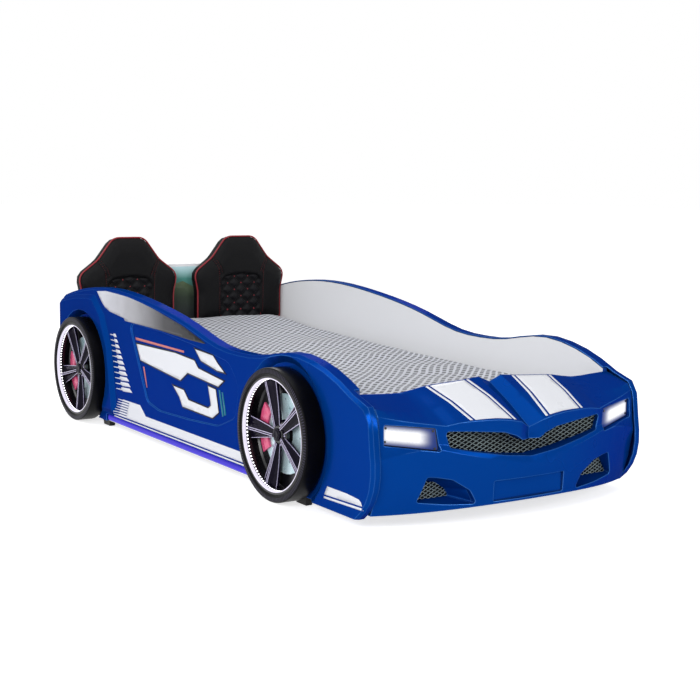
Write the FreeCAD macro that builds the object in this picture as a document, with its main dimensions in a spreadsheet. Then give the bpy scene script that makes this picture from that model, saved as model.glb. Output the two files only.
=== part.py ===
import FreeCAD, Part
import math
import os
from FreeCAD import Placement, Rotation, Vector

# A child's bed in the shape of a sports car. White MDF boards carry a slatted deck;
# thermoformed shells, dummy wheels, lamps and two padded seats are fixed to them.
# Z is up and the nose looks along -Y. Stations along the car are millimetres behind
# the front axle, so every placement starts from the front axle's own Y.

SIZES = {
    "front_axle_y": -585,
    "wheelbase": 1460,
    "axle_height": 198,
    "tyre_radius": 196,
    "tyre_width": 64,
    "tyre_outer_x": 546,
    "rim_radius": 172,
    "wheel_sides": 28,
    "spoke_count": 5,
    "disc_radius": 118,
    "board_thickness": 18,
    "inner_width": 910,
    "front_board_y": -340,
    "headboard_y": 1640,
    "headboard_height": 570,
    "ground_gap": 28,
    "skin": 4,
    "shell_face_x": 500,
    "mask_half_width": 470,
    "mattress_length": 1890,
    "mattress_width": 900,
    "mattress_height": 160,
    "deck_height": 200,
    "slat_count": 14,
    "slat_width": 70,
    "slat_thickness": 18,
    "rail_width": 25,
    "rail_height": 40,
    "seat_offset": 252,
    "seat_back_y": 1631,
    "seat_board_thickness": 9,
    "quilt_pitch": 63,
    "mesh_pitch": 38,
    "piping_radius": 3,
    "foot_length": 60,
    "bracket_leg": 40,
    "bracket_thickness": 3,
}

doc = FreeCAD.newDocument("CarBed")
sheet = doc.addObject("Spreadsheet::Sheet", "Sizes")
for row, (alias, number) in enumerate(SIZES.items(), start=1):
    sheet.set(f"A{row}", alias)
    sheet.set(f"B{row}", str(number))
    sheet.setAlias(f"B{row}", alias)
doc.recompute()

PARTS = []


def size(alias):
    """Number held by one named cell."""
    return float(sheet.get(alias))


# ---------------------------------------------------------------- drawing helpers

def side_plane(x):
    """Maps (station, height) to a point in the plane at one X."""
    return lambda a, b: Vector(x, a, b)


def cross_plane(y):
    """Maps (x, height) to a point in the plane at one station."""
    return lambda a, b: Vector(a, y, b)


def floor_plane(z):
    """Maps (x, station) to a point in the plane at one height."""
    return lambda a, b: Vector(a, b, z)


def polygon(points, plane):
    """Closed wire of straight edges."""
    corners = [plane(a, b) for a, b in points]
    return Part.makePolygon(corners + corners[:1])


def softened(corners):
    """Corner points of an outline whose (a, b, radius) corners are rounded in short straight runs."""
    points = []
    count = len(corners)
    for i, (a, b, radius) in enumerate(corners):
        here = Vector(a, b, 0)
        if not radius:
            points.append((a, b))
            continue
        back = Vector(*corners[i - 1][:2], 0) - here
        ahead = Vector(*corners[(i + 1) % count][:2], 0) - here
        back.normalize()
        ahead.normalize()
        half = back.getAngle(ahead) / 2
        bisector = back + ahead
        bisector.normalize()
        centre = here + bisector * (radius / math.sin(half))
        start = here + back * (radius / math.tan(half)) - centre
        end = here + ahead * (radius / math.tan(half)) - centre
        sweep = math.pi - 2 * half
        runs = max(2, math.ceil(sweep * math.sqrt(radius) / 4.4))
        for k in range(runs + 1):
            part = k / runs
            near = start * (math.sin((1 - part) * sweep) / math.sin(sweep))
            far = end * (math.sin(part * sweep) / math.sin(sweep))
            points.append(((centre + near + far).x, (centre + near + far).y))
    return points


def rounded(corners, plane):
    """Closed wire of an outline with softened corners."""
    return polygon(softened(corners), plane)


def prism(wire, direction):
    """Solid swept straight from a closed wire."""
    return Part.Face(wire).extrude(Vector(*direction))


def loft(wires, ruled=True):
    """Solid through closed wires."""
    return Part.makeLoft(wires, True, ruled)


def stud(start, direction, radius, length, sides=8):
    """Straight-sided rod for small screws and the holes they pass."""
    axis = Vector(*direction)
    axis.normalize()
    helper = Vector(0, 0, 1) if abs(axis.z) < 0.9 else Vector(1, 0, 0)
    across = axis.cross(helper)
    across.normalize()
    up = axis.cross(across)
    turns = [2 * math.pi * i / sides for i in range(sides)]
    ring = [start + across * (radius * math.cos(t)) + up * (radius * math.sin(t)) for t in turns]
    return Part.Face(Part.makePolygon(ring + ring[:1])).extrude(axis * length)


def box(x, y, z):
    """Box from three (low, high) pairs."""
    lows, highs = zip(x, y, z)
    corner = Vector(*lows)
    return Part.makeBox(highs[0] - lows[0], highs[1] - lows[1], highs[2] - lows[2], corner)


def smooth_run(points, runs):
    """Points along a smooth line through the given ones, in even straight runs."""
    curve = Part.BSplineCurve()
    curve.interpolate([Vector(a, b, 0) for a, b in points])
    return [(p.x, p.y) for p in curve.discretize(Number=runs + 1)]


def mirrored(shape):
    """The same piece on the car's other side."""
    return shape.mirror(Vector(0, 0, 0), Vector(1, 0, 0))


def solid(name, shape):
    """Document object for a formed piece, placed from the front axle."""
    if shape.ShapeType == "Compound" and len(shape.Solids) == 1:
        shape = shape.Solids[0]
    piece = doc.addObject("Part::Feature", name)
    piece.Label = name
    piece.Shape = shape
    piece.setExpression("Placement.Base.y", "Sizes.front_axle_y")
    PARTS.append(piece)
    return piece


def handed(name, right_shape):
    """Right-hand piece and its mirror image."""
    solid(name + "_right", right_shape)
    solid(name + "_left", mirrored(right_shape))


def group(name, members):
    """Several alike solids kept as one piece."""
    solid(name, Part.makeCompound(members))


def new_body(name):
    body = doc.addObject("PartDesign::Body", name)
    body.Label = name
    PARTS.append(body)
    return body


def origin_plane(body, role):
    return next(item for item in body.Origin.OriginFeatures if item.Role == role)


def sketch_on(body, role, suffix, geometry):
    """Sketch on one of the body's own origin planes."""
    sketch = body.newObject("Sketcher::SketchObject", f"{body.Label}_{suffix}")
    sketch.AttachmentSupport = [(origin_plane(body, role), "")]
    sketch.MapMode = "FlatFace"
    sketch.addGeometry(geometry, False)
    return sketch


def pad(body, sketch, length, reverse=False):
    """Pad whose length is a number or an expression on the sheet."""
    feature = body.newObject("PartDesign::Pad", sketch.Label + "_pad")
    feature.Profile = sketch
    feature.Reversed = reverse
    if isinstance(length, str):
        feature.setExpression("Length", length)
    else:
        feature.Length = length
    return feature


def pocket(body, sketch, depth, reverse=False):
    feature = body.newObject("PartDesign::Pocket", sketch.Label + "_pocket")
    feature.Profile = sketch
    feature.Reversed = reverse
    feature.Length = depth
    return feature


def polar(body, feature, count, axis_role="Z_Axis"):
    """Pattern of one feature round the body's axis; count may be an expression."""
    pattern = body.newObject("PartDesign::PolarPattern", feature.Label + "_ring")
    pattern.Originals = [feature]
    pattern.Axis = (origin_plane(body, axis_role), [""])
    pattern.Angle = 360
    if isinstance(count, str):
        pattern.setExpression("Occurrences", count)
    else:
        pattern.Occurrences = count
    body.Tip = pattern
    return pattern


def lines(points):
    """Closed run of sketch lines through (u, v) points."""
    corners = [Vector(u, v, 0) for u, v in points]
    return [Part.LineSegment(corners[i - 1], corners[i]) for i in range(len(corners))]


def ngon(u, v, radius, sides=6):
    turns = [2 * math.pi * i / sides for i in range(sides)]
    return lines([(u + radius * math.cos(t), v + radius * math.sin(t)) for t in turns])


def place(piece, x="0", y="0", z="0", rotation=None):
    """Placement from expressions, Y counted from the front axle."""
    if rotation is not None:
        piece.Placement = Placement(Vector(0, 0, 0), rotation)
    piece.setExpression("Placement.Base.x", x)
    piece.setExpression("Placement.Base.y", f"Sizes.front_axle_y + {y}")
    piece.setExpression("Placement.Base.z", z)


# ---------------------------------------------------------------- shared outlines

BOARD = size("board_thickness")
INNER = size("inner_width") / 2
SKIN = size("skin")
GROUND = size("ground_gap")
FACE = size("shell_face_x")
MASK = size("mask_half_width")
AXLE_Z = size("axle_height")
REAR_AXLE = size("wheelbase")
HEADBOARD = size("headboard_y")
DECK = size("deck_height")
HOOD_REAR = size("front_board_y") + BOARD + SKIN
HOOD_REAR_HEIGHT = 372
REAR_END = 1686
WAIST_BOTTOM = 54

BRACKET_SCREW_IN = size("bracket_leg") * 0.6
BRACKET_SCREW_Z = (100, 140)
PILOT_RADIUS = 2.5

# Top line of the flank: tail, haunch, low door, front fender and fall to the nose.
FLANK_TOP = [
    (1655, 462), (1534, 490), (1253, 519), (903, 498), (589, 448), (386, 406), (259, 402),
    (163, 407), (45, 429), (-55, 439), (-136, 431), (-284, 388), (-360, 354), (-408, 340),
]
# Leading edge of the flank, from the headlamp corner down to the sill.
FLANK_FRONT = [(-408, 340), (-427, 312), (-437, 255), (-447, 190), (-440, 113), (-404, 53), (-376, 28)]


def flank_outline(inset, bottom, front=True):
    """Outline points of the car's side, drawn in from the outer line by one distance."""
    top = [(a, b - inset) for a, b in FLANK_TOP]
    if front:
        top[-1] = (top[-1][0] + inset, top[-1][1])
        edge = [(a + inset, b) for a, b in FLANK_FRONT]
        edge[0] = top[-1]
        edge[-1] = (edge[-1][0], bottom)
        lead = smooth_run(edge, 9)[1:]
    else:
        top = [p for p in top if p[0] > HOOD_REAR] + [(HOOD_REAR, HOOD_REAR_HEIGHT - inset)]
        lead = [(HOOD_REAR, bottom)]
    tail = [(REAR_END - inset, bottom), (REAR_END - inset, 442 - inset)]
    return tail + smooth_run(top, 30) + lead


# ---------------------------------------------------------------- boards and deck

def side_boards():
    """Inner MDF boards: the wave outline, one thickness, pilot holes for the brackets."""
    for side, x in (("right", "-Sizes.inner_width / 2 - Sizes.board_thickness"),
                    ("left", "Sizes.inner_width / 2")):
        board = new_body("side_board_" + side)
        outline = lines(flank_outline(SKIN + 1, GROUND, front=False))
        pad(board, sketch_on(board, "YZ_Plane", "outline", outline), "Sizes.board_thickness")
        front = size("front_board_y") + BOARD
        drill(board, "YZ_Plane", [front + BRACKET_SCREW_IN, HEADBOARD - BRACKET_SCREW_IN])
        place(board, x=x)


def drill(board, role, across):
    """Pilot holes for the bracket screws, right through a board, on the side its pad grew to."""
    holes = [edge for u in across for z in BRACKET_SCREW_Z for edge in ngon(u, z, PILOT_RADIUS)]
    pocket(board, sketch_on(board, role, "pilot_holes", holes), BOARD, reverse=role == "YZ_Plane")


def cross_boards():
    """Front board under the hood's rear edge, and the headboard behind the seats."""
    half = INNER - 0.5
    front = new_body("front_board")
    outline = lines([(-half, GROUND), (half, GROUND), (half, 328), (-half, 328)])
    pad(front, sketch_on(front, "XZ_Plane", "outline", outline), "Sizes.board_thickness", reverse=True)
    screw_x = INNER - BRACKET_SCREW_IN
    drill(front, "XZ_Plane", [-screw_x, screw_x])
    place(front, y="Sizes.front_board_y")

    head = new_body("headboard")
    top = size("headboard_height")
    hump = [(half, GROUND), (half, 452), (330, top), (-330, top), (-half, 452), (-half, GROUND)]
    panel = pad(head, sketch_on(head, "XZ_Plane", "outline", lines(hump)), "Sizes.board_thickness", reverse=True)
    doc.recompute()
    tall = [
        f"Edge{i}" for i, edge in enumerate(panel.Shape.Edges, start=1)
        if abs(abs(edge.CenterOfMass.x) - 330) < 1 and abs(edge.CenterOfMass.z - top) < 1
    ]
    shoulders = head.newObject("PartDesign::Fillet", "headboard_shoulders")
    shoulders.Base = (panel, tall)
    shoulders.Radius = 60
    head.Tip = shoulders
    drill(head, "XZ_Plane", [-screw_x, screw_x])
    place(head, y="Sizes.headboard_y")


def ledger_rails():
    """Rails screwed inside the side boards; the slats lie on them."""
    for side, sign in (("right", -1), ("left", 1)):
        rail = doc.addObject("Part::Box", "ledger_rail_" + side)
        rail.Label = "ledger_rail_" + side
        rail.setExpression("Length", "Sizes.rail_width")
        rail.setExpression("Width", "Sizes.headboard_y - Sizes.front_board_y - Sizes.board_thickness - 120")
        rail.setExpression("Height", "Sizes.rail_height")
        inner = "Sizes.inner_width / 2"
        place(rail, x=f"-{inner}" if sign < 0 else f"{inner} - Sizes.rail_width",
              y="Sizes.front_board_y + Sizes.board_thickness + 60",
              z="Sizes.deck_height - Sizes.slat_thickness - Sizes.rail_height")
        PARTS.append(rail)


def bed_slats():
    """Sprung slats with rounded ends, evenly spaced down the deck."""
    count = int(size("slat_count"))
    width = size("slat_width")
    half = INNER - 4
    first = size("front_board_y") + BOARD + 70
    last = HEADBOARD - 70 - width
    pitch = (last - first) / (count - 1)
    slats = []
    for i in range(count):
        low = first + i * pitch
        nip = 8
        outline = polygon([(-half + nip, low), (half - nip, low), (half, low + nip), (half, low + width - nip),
                           (half - nip, low + width), (-half + nip, low + width), (-half, low + width - nip),
                           (-half, low + nip)], floor_plane(DECK - size("slat_thickness")))
        slats.append(prism(outline, (0, 0, size("slat_thickness"))))
    group("bed_slats", slats)


def corner_brackets():
    """Steel angle in each inner corner, with a screw through every hole."""
    leg = size("bracket_leg")
    gauge = size("bracket_thickness")
    front = size("front_board_y") + BOARD
    low, high = 80, 160
    plain = box((-INNER, -INNER + gauge), (front, front + leg), (low, high))
    plain = plain.fuse(box((-INNER, -INNER + leg), (front, front + gauge), (low, high)))
    screws = []
    bite = 12
    for z in BRACKET_SCREW_Z:
        for start, direction in (
            (Vector(-INNER - bite, front + BRACKET_SCREW_IN, z), Vector(1, 0, 0)),
            (Vector(-INNER + BRACKET_SCREW_IN, front - bite, z), Vector(0, 1, 0)),
        ):
            plain = plain.cut(stud(start, direction, PILOT_RADIUS, 40, 6))
            shank = stud(start, direction, 1.9, bite + gauge, 5)
            head = stud(start + direction * (bite + gauge), direction, 4.2, 2.2, 6)
            screws.append(shank.fuse(head))
    plain = plain.removeSplitter()
    span = (front + HEADBOARD) / 2

    def corners(shape):
        rear = shape.mirror(Vector(0, span, 0), Vector(0, 1, 0))
        return [shape, rear, mirrored(shape), mirrored(rear)]

    group("corner_brackets", corners(plain))
    group("bracket_screws", [copy for screw in screws for copy in corners(screw)])


def feet():
    """Black plastic glides under the side boards, behind the wheels and just ahead of the rear ones."""
    length, width, draft = size("foot_length"), 28, 4
    side_x = INNER + BOARD / 2
    glides = [(x, y, width, length) for x in (-side_x, side_x) for y in (-60, 1310, 1640)]
    solids = []
    for x, y, wide, long in glides:
        rings = []
        for z, less in ((0, draft), (GROUND, 0)):
            a, b = wide / 2 - less, long / 2 - less
            rings.append(polygon([(x - a, y - b), (x + a, y - b), (x + a, y + b), (x - a, y + b)], floor_plane(z)))
        solids.append(loft(rings))
    group("board_feet", solids)


# ---------------------------------------------------------------- flank shells

def ring_wire(station, radius, x, sides=28):
    """Even-sided ring round a wheel's axle in the plane at one X."""
    turns = [2 * math.pi * (i + 0.5) / sides for i in range(sides)]
    return polygon([(station + radius * math.cos(t), AXLE_Z + radius * math.sin(t)) for t in turns], side_plane(x))


def dish(station, rings):
    """Wheel dish to cut into the flank, through (depth from the face, radius) rings."""
    return loft([ring_wire(station, radius, -FACE + depth) for depth, radius in rings])


def door_form(grow, inner_x, outer_x):
    """Tapered prism of the sunk door panel."""
    corners = [
        (1059, 414, 18), (913, 150, 40), (815, 133, 120), (590, 140, 500), (395, 152, 120),
        (285, 196, 40), (262, 300, 60), (330, 366, 60), (560, 392, 300), (820, 410, 300),
    ]
    centre = (650, 285)

    def ring(scale, x):
        moved = []
        for a, b, radius in corners:
            moved.append((centre[0] + (a - centre[0]) * scale, centre[1] + (b - centre[1]) * scale, radius))
        return rounded(moved, side_plane(x))

    step = grow / 300
    return loft([ring(1 + step, outer_x), ring(0.985 + step, inner_x)])


def flank_form(inset, levels, bevel):
    """Flank-shaped block between X levels, its last step bevelled in."""
    bottom = GROUND + inset
    insets = [inset] * (len(levels) - 1) + [inset + bevel]
    return loft([polygon(flank_outline(gap, bottom), side_plane(x)) for gap, x in zip(insets, levels)])


def flank_shell():
    """Right flank: a thin skin over the board with wheel dishes, door panel and rear haunch."""
    depth = 20
    edge_bevel = 9
    board_x = -INNER - BOARD
    rim_x = -FACE + edge_bevel
    outer = flank_form(0, (-INNER, rim_x, -FACE), edge_bevel)
    outer = outer.cut(box((board_x, -INNER + 1), (-500, HOOD_REAR), (0, 600)))
    outer = outer.cut(box((board_x, -INNER + 1), (-500, 1700), (0, 62)))

    haunch_foot = [(1682, 60), (1682, 440), (1652, 452), (1534, 474), (1400, 486), (1350, 486),
                   (1268, 420), (1205, 300), (1160, 60)]
    haunch_top = [(1670, 80), (1670, 428), (1645, 438), (1534, 458), (1405, 470), (1360, 468),
                  (1290, 412), (1230, 300), (1186, 80)]
    haunch = loft([polygon(haunch_foot, side_plane(-FACE + 1)), polygon(haunch_top, side_plane(-FACE - 12))])
    outer = outer.fuse(haunch)

    rocker_step = box((-FACE - 20, -INNER + 1), (204, REAR_AXLE - 204), (GROUND - 1, WAIST_BOTTOM))
    outer = outer.cut(rocker_step)

    outer = outer.cut(dish(0, [(depth, 208), (-1, 234)]))
    outer = outer.cut(dish(REAR_AXLE, [(depth, 206), (0, 216), (-14, 226)]))
    outer = outer.cut(door_form(0, -FACE + 5, -FACE - 1))

    hollow = flank_form(SKIN, (-INNER + 1, rim_x, -FACE + SKIN), edge_bevel - 2)
    hollow = hollow.cut(box((-FACE, -INNER), (200, REAR_AXLE - 200), (GROUND, WAIST_BOTTOM + SKIN)))
    for station, radius in ((0, 234), (REAR_AXLE, 217)):
        hollow = hollow.cut(prism(ring_wire(station, radius + SKIN, board_x), (-40, 0, 0)))
    hollow = hollow.cut(door_form(8, -FACE + 5 + SKIN, -FACE - 1))
    return outer.cut(hollow)


# ---------------------------------------------------------------- front mask

NOSE = -516
NOSE_PLAN_RADIUS = 1515


def nose_plan(x, setback=0):
    """Station of the bumper's face at one X: an arc in plan, drawn back by a setback."""
    return NOSE + NOSE_PLAN_RADIUS - math.sqrt(NOSE_PLAN_RADIUS ** 2 - x * x) + setback


def bottom_setback(x):
    return 8 + 32 * (x / MASK) ** 4


# At each X: hood height at its rear edge and midway, brow height and setback, height and
# setback of the lip under the brow, height and setback above the crease, crease height.
MASK_SECTIONS = {
    0: (361, 311, 257, 22, 238, 24, 174, 5, 157),
    42: (378, 335, 278, 5, 262, 9, 190, 8, 164),
    100: (373, 337, 288, 6, 272, 9, 202, 9, 175),
    170: (369, 335, 291, 7, 276, 10, 212, 10, 189),
    235: (365, 330, 290, 7, 276, 10, 222, 10, 203),
    285: (357, 319, 283, 7, 270, 10, 232, 10, 216),
    330: (352, 316, 289, 15, 278, 17, 236, 12, 224),
    400: (355, 321, 300, 17, 290, 19, 236, 14, 216),
    455: (358, 330, 312, 17, 298, 14, 232, 8, 204),
    470: (359, 333, 315, 18, 298, 13, 228, 6, 198),
}


MASK_CREASES = (0, 42, 285, 470)
MASK_STRIPS = (2, 6, 5)
MASK_INNER_STRIPS = (1, 3, 3)


def mask_section(x):
    """Section values at any X, smooth between the table's stations and free to bend at a crease."""
    low = max(c for c in MASK_CREASES[:-1] if c <= x)
    high = min(c for c in MASK_CREASES if c > low)
    zone = [s for s in sorted(MASK_SECTIONS) if low <= s <= high]
    i = max(k for k in range(len(zone) - 1) if zone[k] <= x)
    near, far = zone[i], zone[i + 1]
    part = (x - near) / (far - near)

    def slope(k, column):
        before, after = zone[max(k - 1, 0)], zone[min(k + 1, len(zone) - 1)]
        return (MASK_SECTIONS[after][column] - MASK_SECTIONS[before][column]) / (after - before)

    values = []
    for column, (start, end) in enumerate(zip(MASK_SECTIONS[near], MASK_SECTIONS[far])):
        pull_in = slope(i, column) * (far - near)
        pull_out = slope(i + 1, column) * (far - near)
        values.append(
            start * (2 * part ** 3 - 3 * part ** 2 + 1) + pull_in * (part ** 3 - 2 * part ** 2 + part)
            + end * (3 * part ** 2 - 2 * part ** 3) + pull_out * (part ** 3 - part ** 2))
    return values


def mask_stations(strips):
    """X of every section, evenly spaced between the creases."""
    stations = [0.0]
    for low, high, count in zip(MASK_CREASES, MASK_CREASES[1:], strips):
        stations += [low + (high - low) * (k + 1) / count for k in range(count)]
    return stations


def mask_chain(x):
    """Outer profile of the mask at one X, from the hood's rear edge down to the chin."""
    rear, middle, brow, brow_back, lip, lip_back, above, above_back, crease = mask_section(min(x, MASK - 0.001))
    foot = 54 - 14 * (x / MASK) ** 2
    return [
        (HOOD_REAR, rear),
        (-410, middle),
        (nose_plan(x, brow_back), brow),
        (nose_plan(x, lip_back), lip),
        (nose_plan(x, above_back), above),
        (nose_plan(x), crease),
        (nose_plan(x, 3 + bottom_setback(x) / 3), 110),
        (nose_plan(x, bottom_setback(x)), foot),
    ]


def inset_chain(chain, gap):
    """The same profile moved inwards by one gap, corner by corner."""
    moved = []
    for i, (y, z) in enumerate(chain):
        normals = []
        for a, b in ((i - 1, i), (i, i + 1)):
            if a >= 0 and b < len(chain):
                dy = chain[b][0] - chain[a][0]
                dz = chain[b][1] - chain[a][1]
                length = math.hypot(dy, dz)
                normals.append((-dz / length, dy / length))
        ny = sum(n[0] for n in normals)
        nz = sum(n[1] for n in normals)
        scale = gap * len(normals) / (ny * ny + nz * nz) if len(normals) == 2 else gap
        moved.append((y + ny * scale, z + nz * scale))
    return moved


def mask_block():
    """Full solid behind one half of the mask's face."""
    wires = []
    for x in mask_stations(MASK_STRIPS):
        chain = mask_chain(x)
        foot = chain[-1][1]
        wires.append(polygon(chain + [(HOOD_REAR, foot)], side_plane(-x)))
    return loft(wires)


def mask_hollow():
    """What the skin leaves free behind it: open to the rear below the hood's flange, and downwards."""
    wires = []
    for x in mask_stations(MASK_INNER_STRIPS):
        chain = mask_chain(x)
        inner = inset_chain(chain, SKIN)
        foot = chain[-1][1]
        inner[0] = (HOOD_REAR - SKIN, chain[0][1] - SKIN)
        inner[-1] = (inner[-1][0], foot + SKIN)
        ledge = inner[-1][0] + 22
        rest = [(ledge, foot + SKIN), (ledge, foot - 20), (HOOD_REAR + 20, foot - 20),
                (HOOD_REAR + 20, chain[0][1] - 32), (HOOD_REAR - SKIN, chain[0][1] - 32)]
        wires.append(polygon(inner + rest, side_plane(-x)))
    return loft(wires)


GRILLE = [
    (-285, 268, 8), (-200, 262, 0), (-96, 252, 16), (-52, 238, 8), (-32, 225, 10), (32, 225, 10),
    (52, 238, 8), (96, 252, 16), (200, 262, 0), (285, 268, 8), (270, 222, 10), (199, 207, 90),
    (91, 188, 120), (0, 178, 60), (-91, 188, 120), (-199, 207, 90), (-270, 222, 10),
]
LAMP = [(-457, 237, 5), (-455, 293, 5), (-310, 277, 5), (-300, 214, 5)]
FOG = [(-338, 150, 8), (-262, 134, 20), (-206, 100, 20), (-182, 60, 6), (-368, 72, 8)]
FOG_BACK = [(-328, 129, 6), (-288, 122, 10), (-256, 102, 8), (-240, 78, 4), (-358, 80, 4)]
PLATE = [(-129, 61, 4), (129, 61, 4), (129, 119, 4), (-129, 119, 4)]
GRILLE_PLANE = -466
LAMP_REAR = -396
FOG_PLANE = -440
PLATE_FLOOR = -502


def grown(corners, gap):
    """Outline drawn out by a gap all round, or in by a negative one, its radii changed to suit."""
    count = len(corners)
    area = sum(corners[i - 1][0] * corners[i][1] - corners[i][0] * corners[i - 1][1] for i in range(count))
    side = math.copysign(1, area)
    moved = []
    for i, (a, b, radius) in enumerate(corners):
        before = Vector(a, b, 0) - Vector(*corners[i - 1][:2], 0)
        after = Vector(*corners[(i + 1) % count][:2], 0) - Vector(a, b, 0)
        before.normalize()
        after.normalize()
        mitre = (before + after).cross(Vector(0, 0, side))
        mitre = mitre * (2 * gap / mitre.Length ** 2)
        swell = gap * math.copysign(1, before.cross(after).z * side)
        moved.append((a + mitre.x, b + mitre.y, max(radius + swell, 0) if radius else 0))
    return moved


def across(corners):
    """Closed wire of an outline seen from the front, at station 0."""
    return rounded(corners, cross_plane(0))


def along(wire, start, end):
    moved = wire.copy()
    moved.translate(Vector(0, start, 0))
    return prism(moved, (0, end - start, 0))


def fog_funnel(wall):
    """Funnel from the bumper's face back to the fog mesh, its walls drawn out by one gap."""
    front, back = grown(FOG, wall), grown(FOG_BACK, wall)
    return loft([rounded(front, cross_plane(-520)), rounded(front, cross_plane(-478)),
                 rounded(back, cross_plane(FOG_PLANE))])


def front_mask():
    """Thermoformed nose: hood with twin bulges and centre valley, brow, lamp and grille openings,
    chin crease, fog recesses and number-plate recess, all one skin with turned-in walls."""
    collar = along(across(grown(GRILLE, SKIN)), -540, GRILLE_PLANE)
    lamp_collar = along(across(grown(LAMP, SKIN)), -540, LAMP_REAR)
    fog_collar = fog_funnel(SKIN)
    plate_collar = box((-135, 135), (-540, PLATE_FLOOR + SKIN), (55, 125))
    hollow = mask_hollow()
    for wall in (collar, lamp_collar, fog_collar, plate_collar):
        hollow = hollow.cut(wall)
    half = mask_block().cut(hollow)
    openings = [
        along(across(GRILLE), -560, -400),
        along(across(LAMP), -560, -380),
        fog_funnel(0),
        along(across(FOG_BACK), -480, FOG_PLANE + 8),
        along(across(PLATE), -560, PLATE_FLOOR),
    ]
    for opening in openings:
        half = half.cut(opening)
    return half.fuse(mirrored(half)).removeSplitter()


def expanded_mesh(corners, station, pitch, margin):
    """Flat mesh with diamond gaps, whole diamonds only, inside a solid rim."""
    thickness = 1.6
    outline = across(corners)
    plate = along(outline, station, station + thickness)
    inner = Part.Face(across(grown(corners, -margin)))
    bounds = outline.BoundBox
    half_long = pitch * 0.5 - 1.2
    half_high = pitch * 0.27 - 1.0
    row_step = pitch * 0.27
    gaps = []
    rows = int((bounds.ZMax - bounds.ZMin) / row_step) + 1
    for row in range(rows):
        z = bounds.ZMin + row * row_step
        shift = pitch / 2 if row % 2 else 0
        columns = int(bounds.XLength / pitch) + 2
        for column in range(-columns // 2, columns // 2 + 1):
            x = bounds.Center.x + column * pitch + shift
            tips = [(x - half_long, z), (x, z - half_high), (x + half_long, z), (x, z + half_high)]
            if all(inner.isInside(Vector(a, 0, b), 0.01, True) for a, b in tips):
                gaps.append(along(polygon(tips, cross_plane(0)), station - 1, station + thickness + 1))
    return plate.cut(Part.makeCompound(gaps)), len(gaps)


def meshes():
    pitch = size("mesh_pitch")
    grille, count = expanded_mesh(grown(GRILLE, SKIN), GRILLE_PLANE, pitch, 3)
    fog, fog_count = expanded_mesh(grown(FOG_BACK, 6), FOG_PLANE, pitch * 0.8, 4)
    print("mesh gaps", count, "and", fog_count, "each side")
    solid("grille_mesh", grille)
    handed("fog_mesh", fog)


def lamp_plane(x):
    """Station of the headlamp's face, turned with the nose's plan."""
    return -427 + (x + 455) * -45 / 145


def lamps():
    """Housing, white lens and four corner screws of each headlamp, behind the mask's opening."""
    def sheet_at(corners, inset, back, depth):
        face = Part.Face(across(grown(corners, -inset)))
        block = face.extrude(Vector(0, 200, 0))
        block.translate(Vector(0, -560, 0))
        cut_front = polygon([(-480, lamp_plane(-480) + back), (-280, lamp_plane(-280) + back),
                             (-280, lamp_plane(-280) + back + depth), (-480, lamp_plane(-480) + back + depth)],
                            floor_plane(180))
        return block.common(prism(cut_front, (0, 0, 150)))

    housing = sheet_at(LAMP, 0.4, 5, 34)
    housing = housing.cut(sheet_at(LAMP, 2.4, 4, 9))
    lens = sheet_at(LAMP, 2.8, 4, 9)
    screws = []
    turn = math.atan2(45, 145)
    inward = Vector(math.sin(turn), math.cos(turn), 0)
    for x, z in ((-447, 246), (-446, 283), (-318, 270), (-312, 222)):
        base = Vector(x, lamp_plane(x) + 1.8, z)
        head = stud(base, inward, 3.6, 1.8, 6)
        shank = stud(base, inward, 1.5, 24, 5)
        bore = stud(base - inward * 5, inward, 2.1, 32, 6)
        lens = lens.cut(bore)
        housing = housing.cut(bore)
        screws.append(head.fuse(shank))
    handed("headlamp_housing", housing)
    handed("headlamp_lens", lens)
    group("headlamp_screws", screws + [mirrored(screw) for screw in screws])


# ---------------------------------------------------------------- wheels

WHEEL_SPOTS = {
    "front_right": (-1, 0), "front_left": (1, 0), "rear_right": (-1, 1), "rear_left": (1, 1),
}


def wheel_place(piece, sign, rear, outward):
    """Wheel pieces are drawn about +Z pointing out of the car; this turns and seats them."""
    turn = Rotation(Vector(0, 1, 0), 90 * sign).multiply(Rotation(Vector(0, 0, 1), 18 + 14 * rear))
    y = "Sizes.wheelbase" if rear else "0"
    base = f"{sign} * (Sizes.tyre_outer_x - Sizes.tyre_width + {outward})"
    place(piece, x=base, y=y, z="Sizes.axle_height", rotation=turn)


def raised_sketch(body, role, suffix, height, geometry):
    """Sketch on a plane lifted off one of the body's origin planes."""
    sketch = sketch_on(body, role, suffix, geometry)
    sketch.AttachmentOffset = Placement(Vector(0, 0, height), Rotation())
    return sketch


def ring_lines(outer, inner):
    sides = int(size("wheel_sides"))
    return ngon(0, 0, outer, sides) + ngon(0, 0, inner, sides)


def tyre(corner):
    """Low-profile tyre with bevelled shoulders."""
    body = new_body("tyre_" + corner)
    tread = pad(body, sketch_on(body, "XY_Plane", "tread", ring_lines(size("tyre_radius"), size("rim_radius") + 0.4)),
                "Sizes.tyre_width")
    doc.recompute()
    shoulder = [f"Edge{i}" for i, edge in enumerate(tread.Shape.Edges, start=1)
                if edge.BoundBox.ZLength < 1 and edge.CenterOfMass.cross(Vector(0, 0, 1)).Length > size("rim_radius") + 9]
    bevel = body.newObject("PartDesign::Chamfer", body.Label + "_shoulders")
    bevel.Base = (tread, shoulder)
    bevel.Size = 3.5
    body.Tip = bevel
    return body


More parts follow.
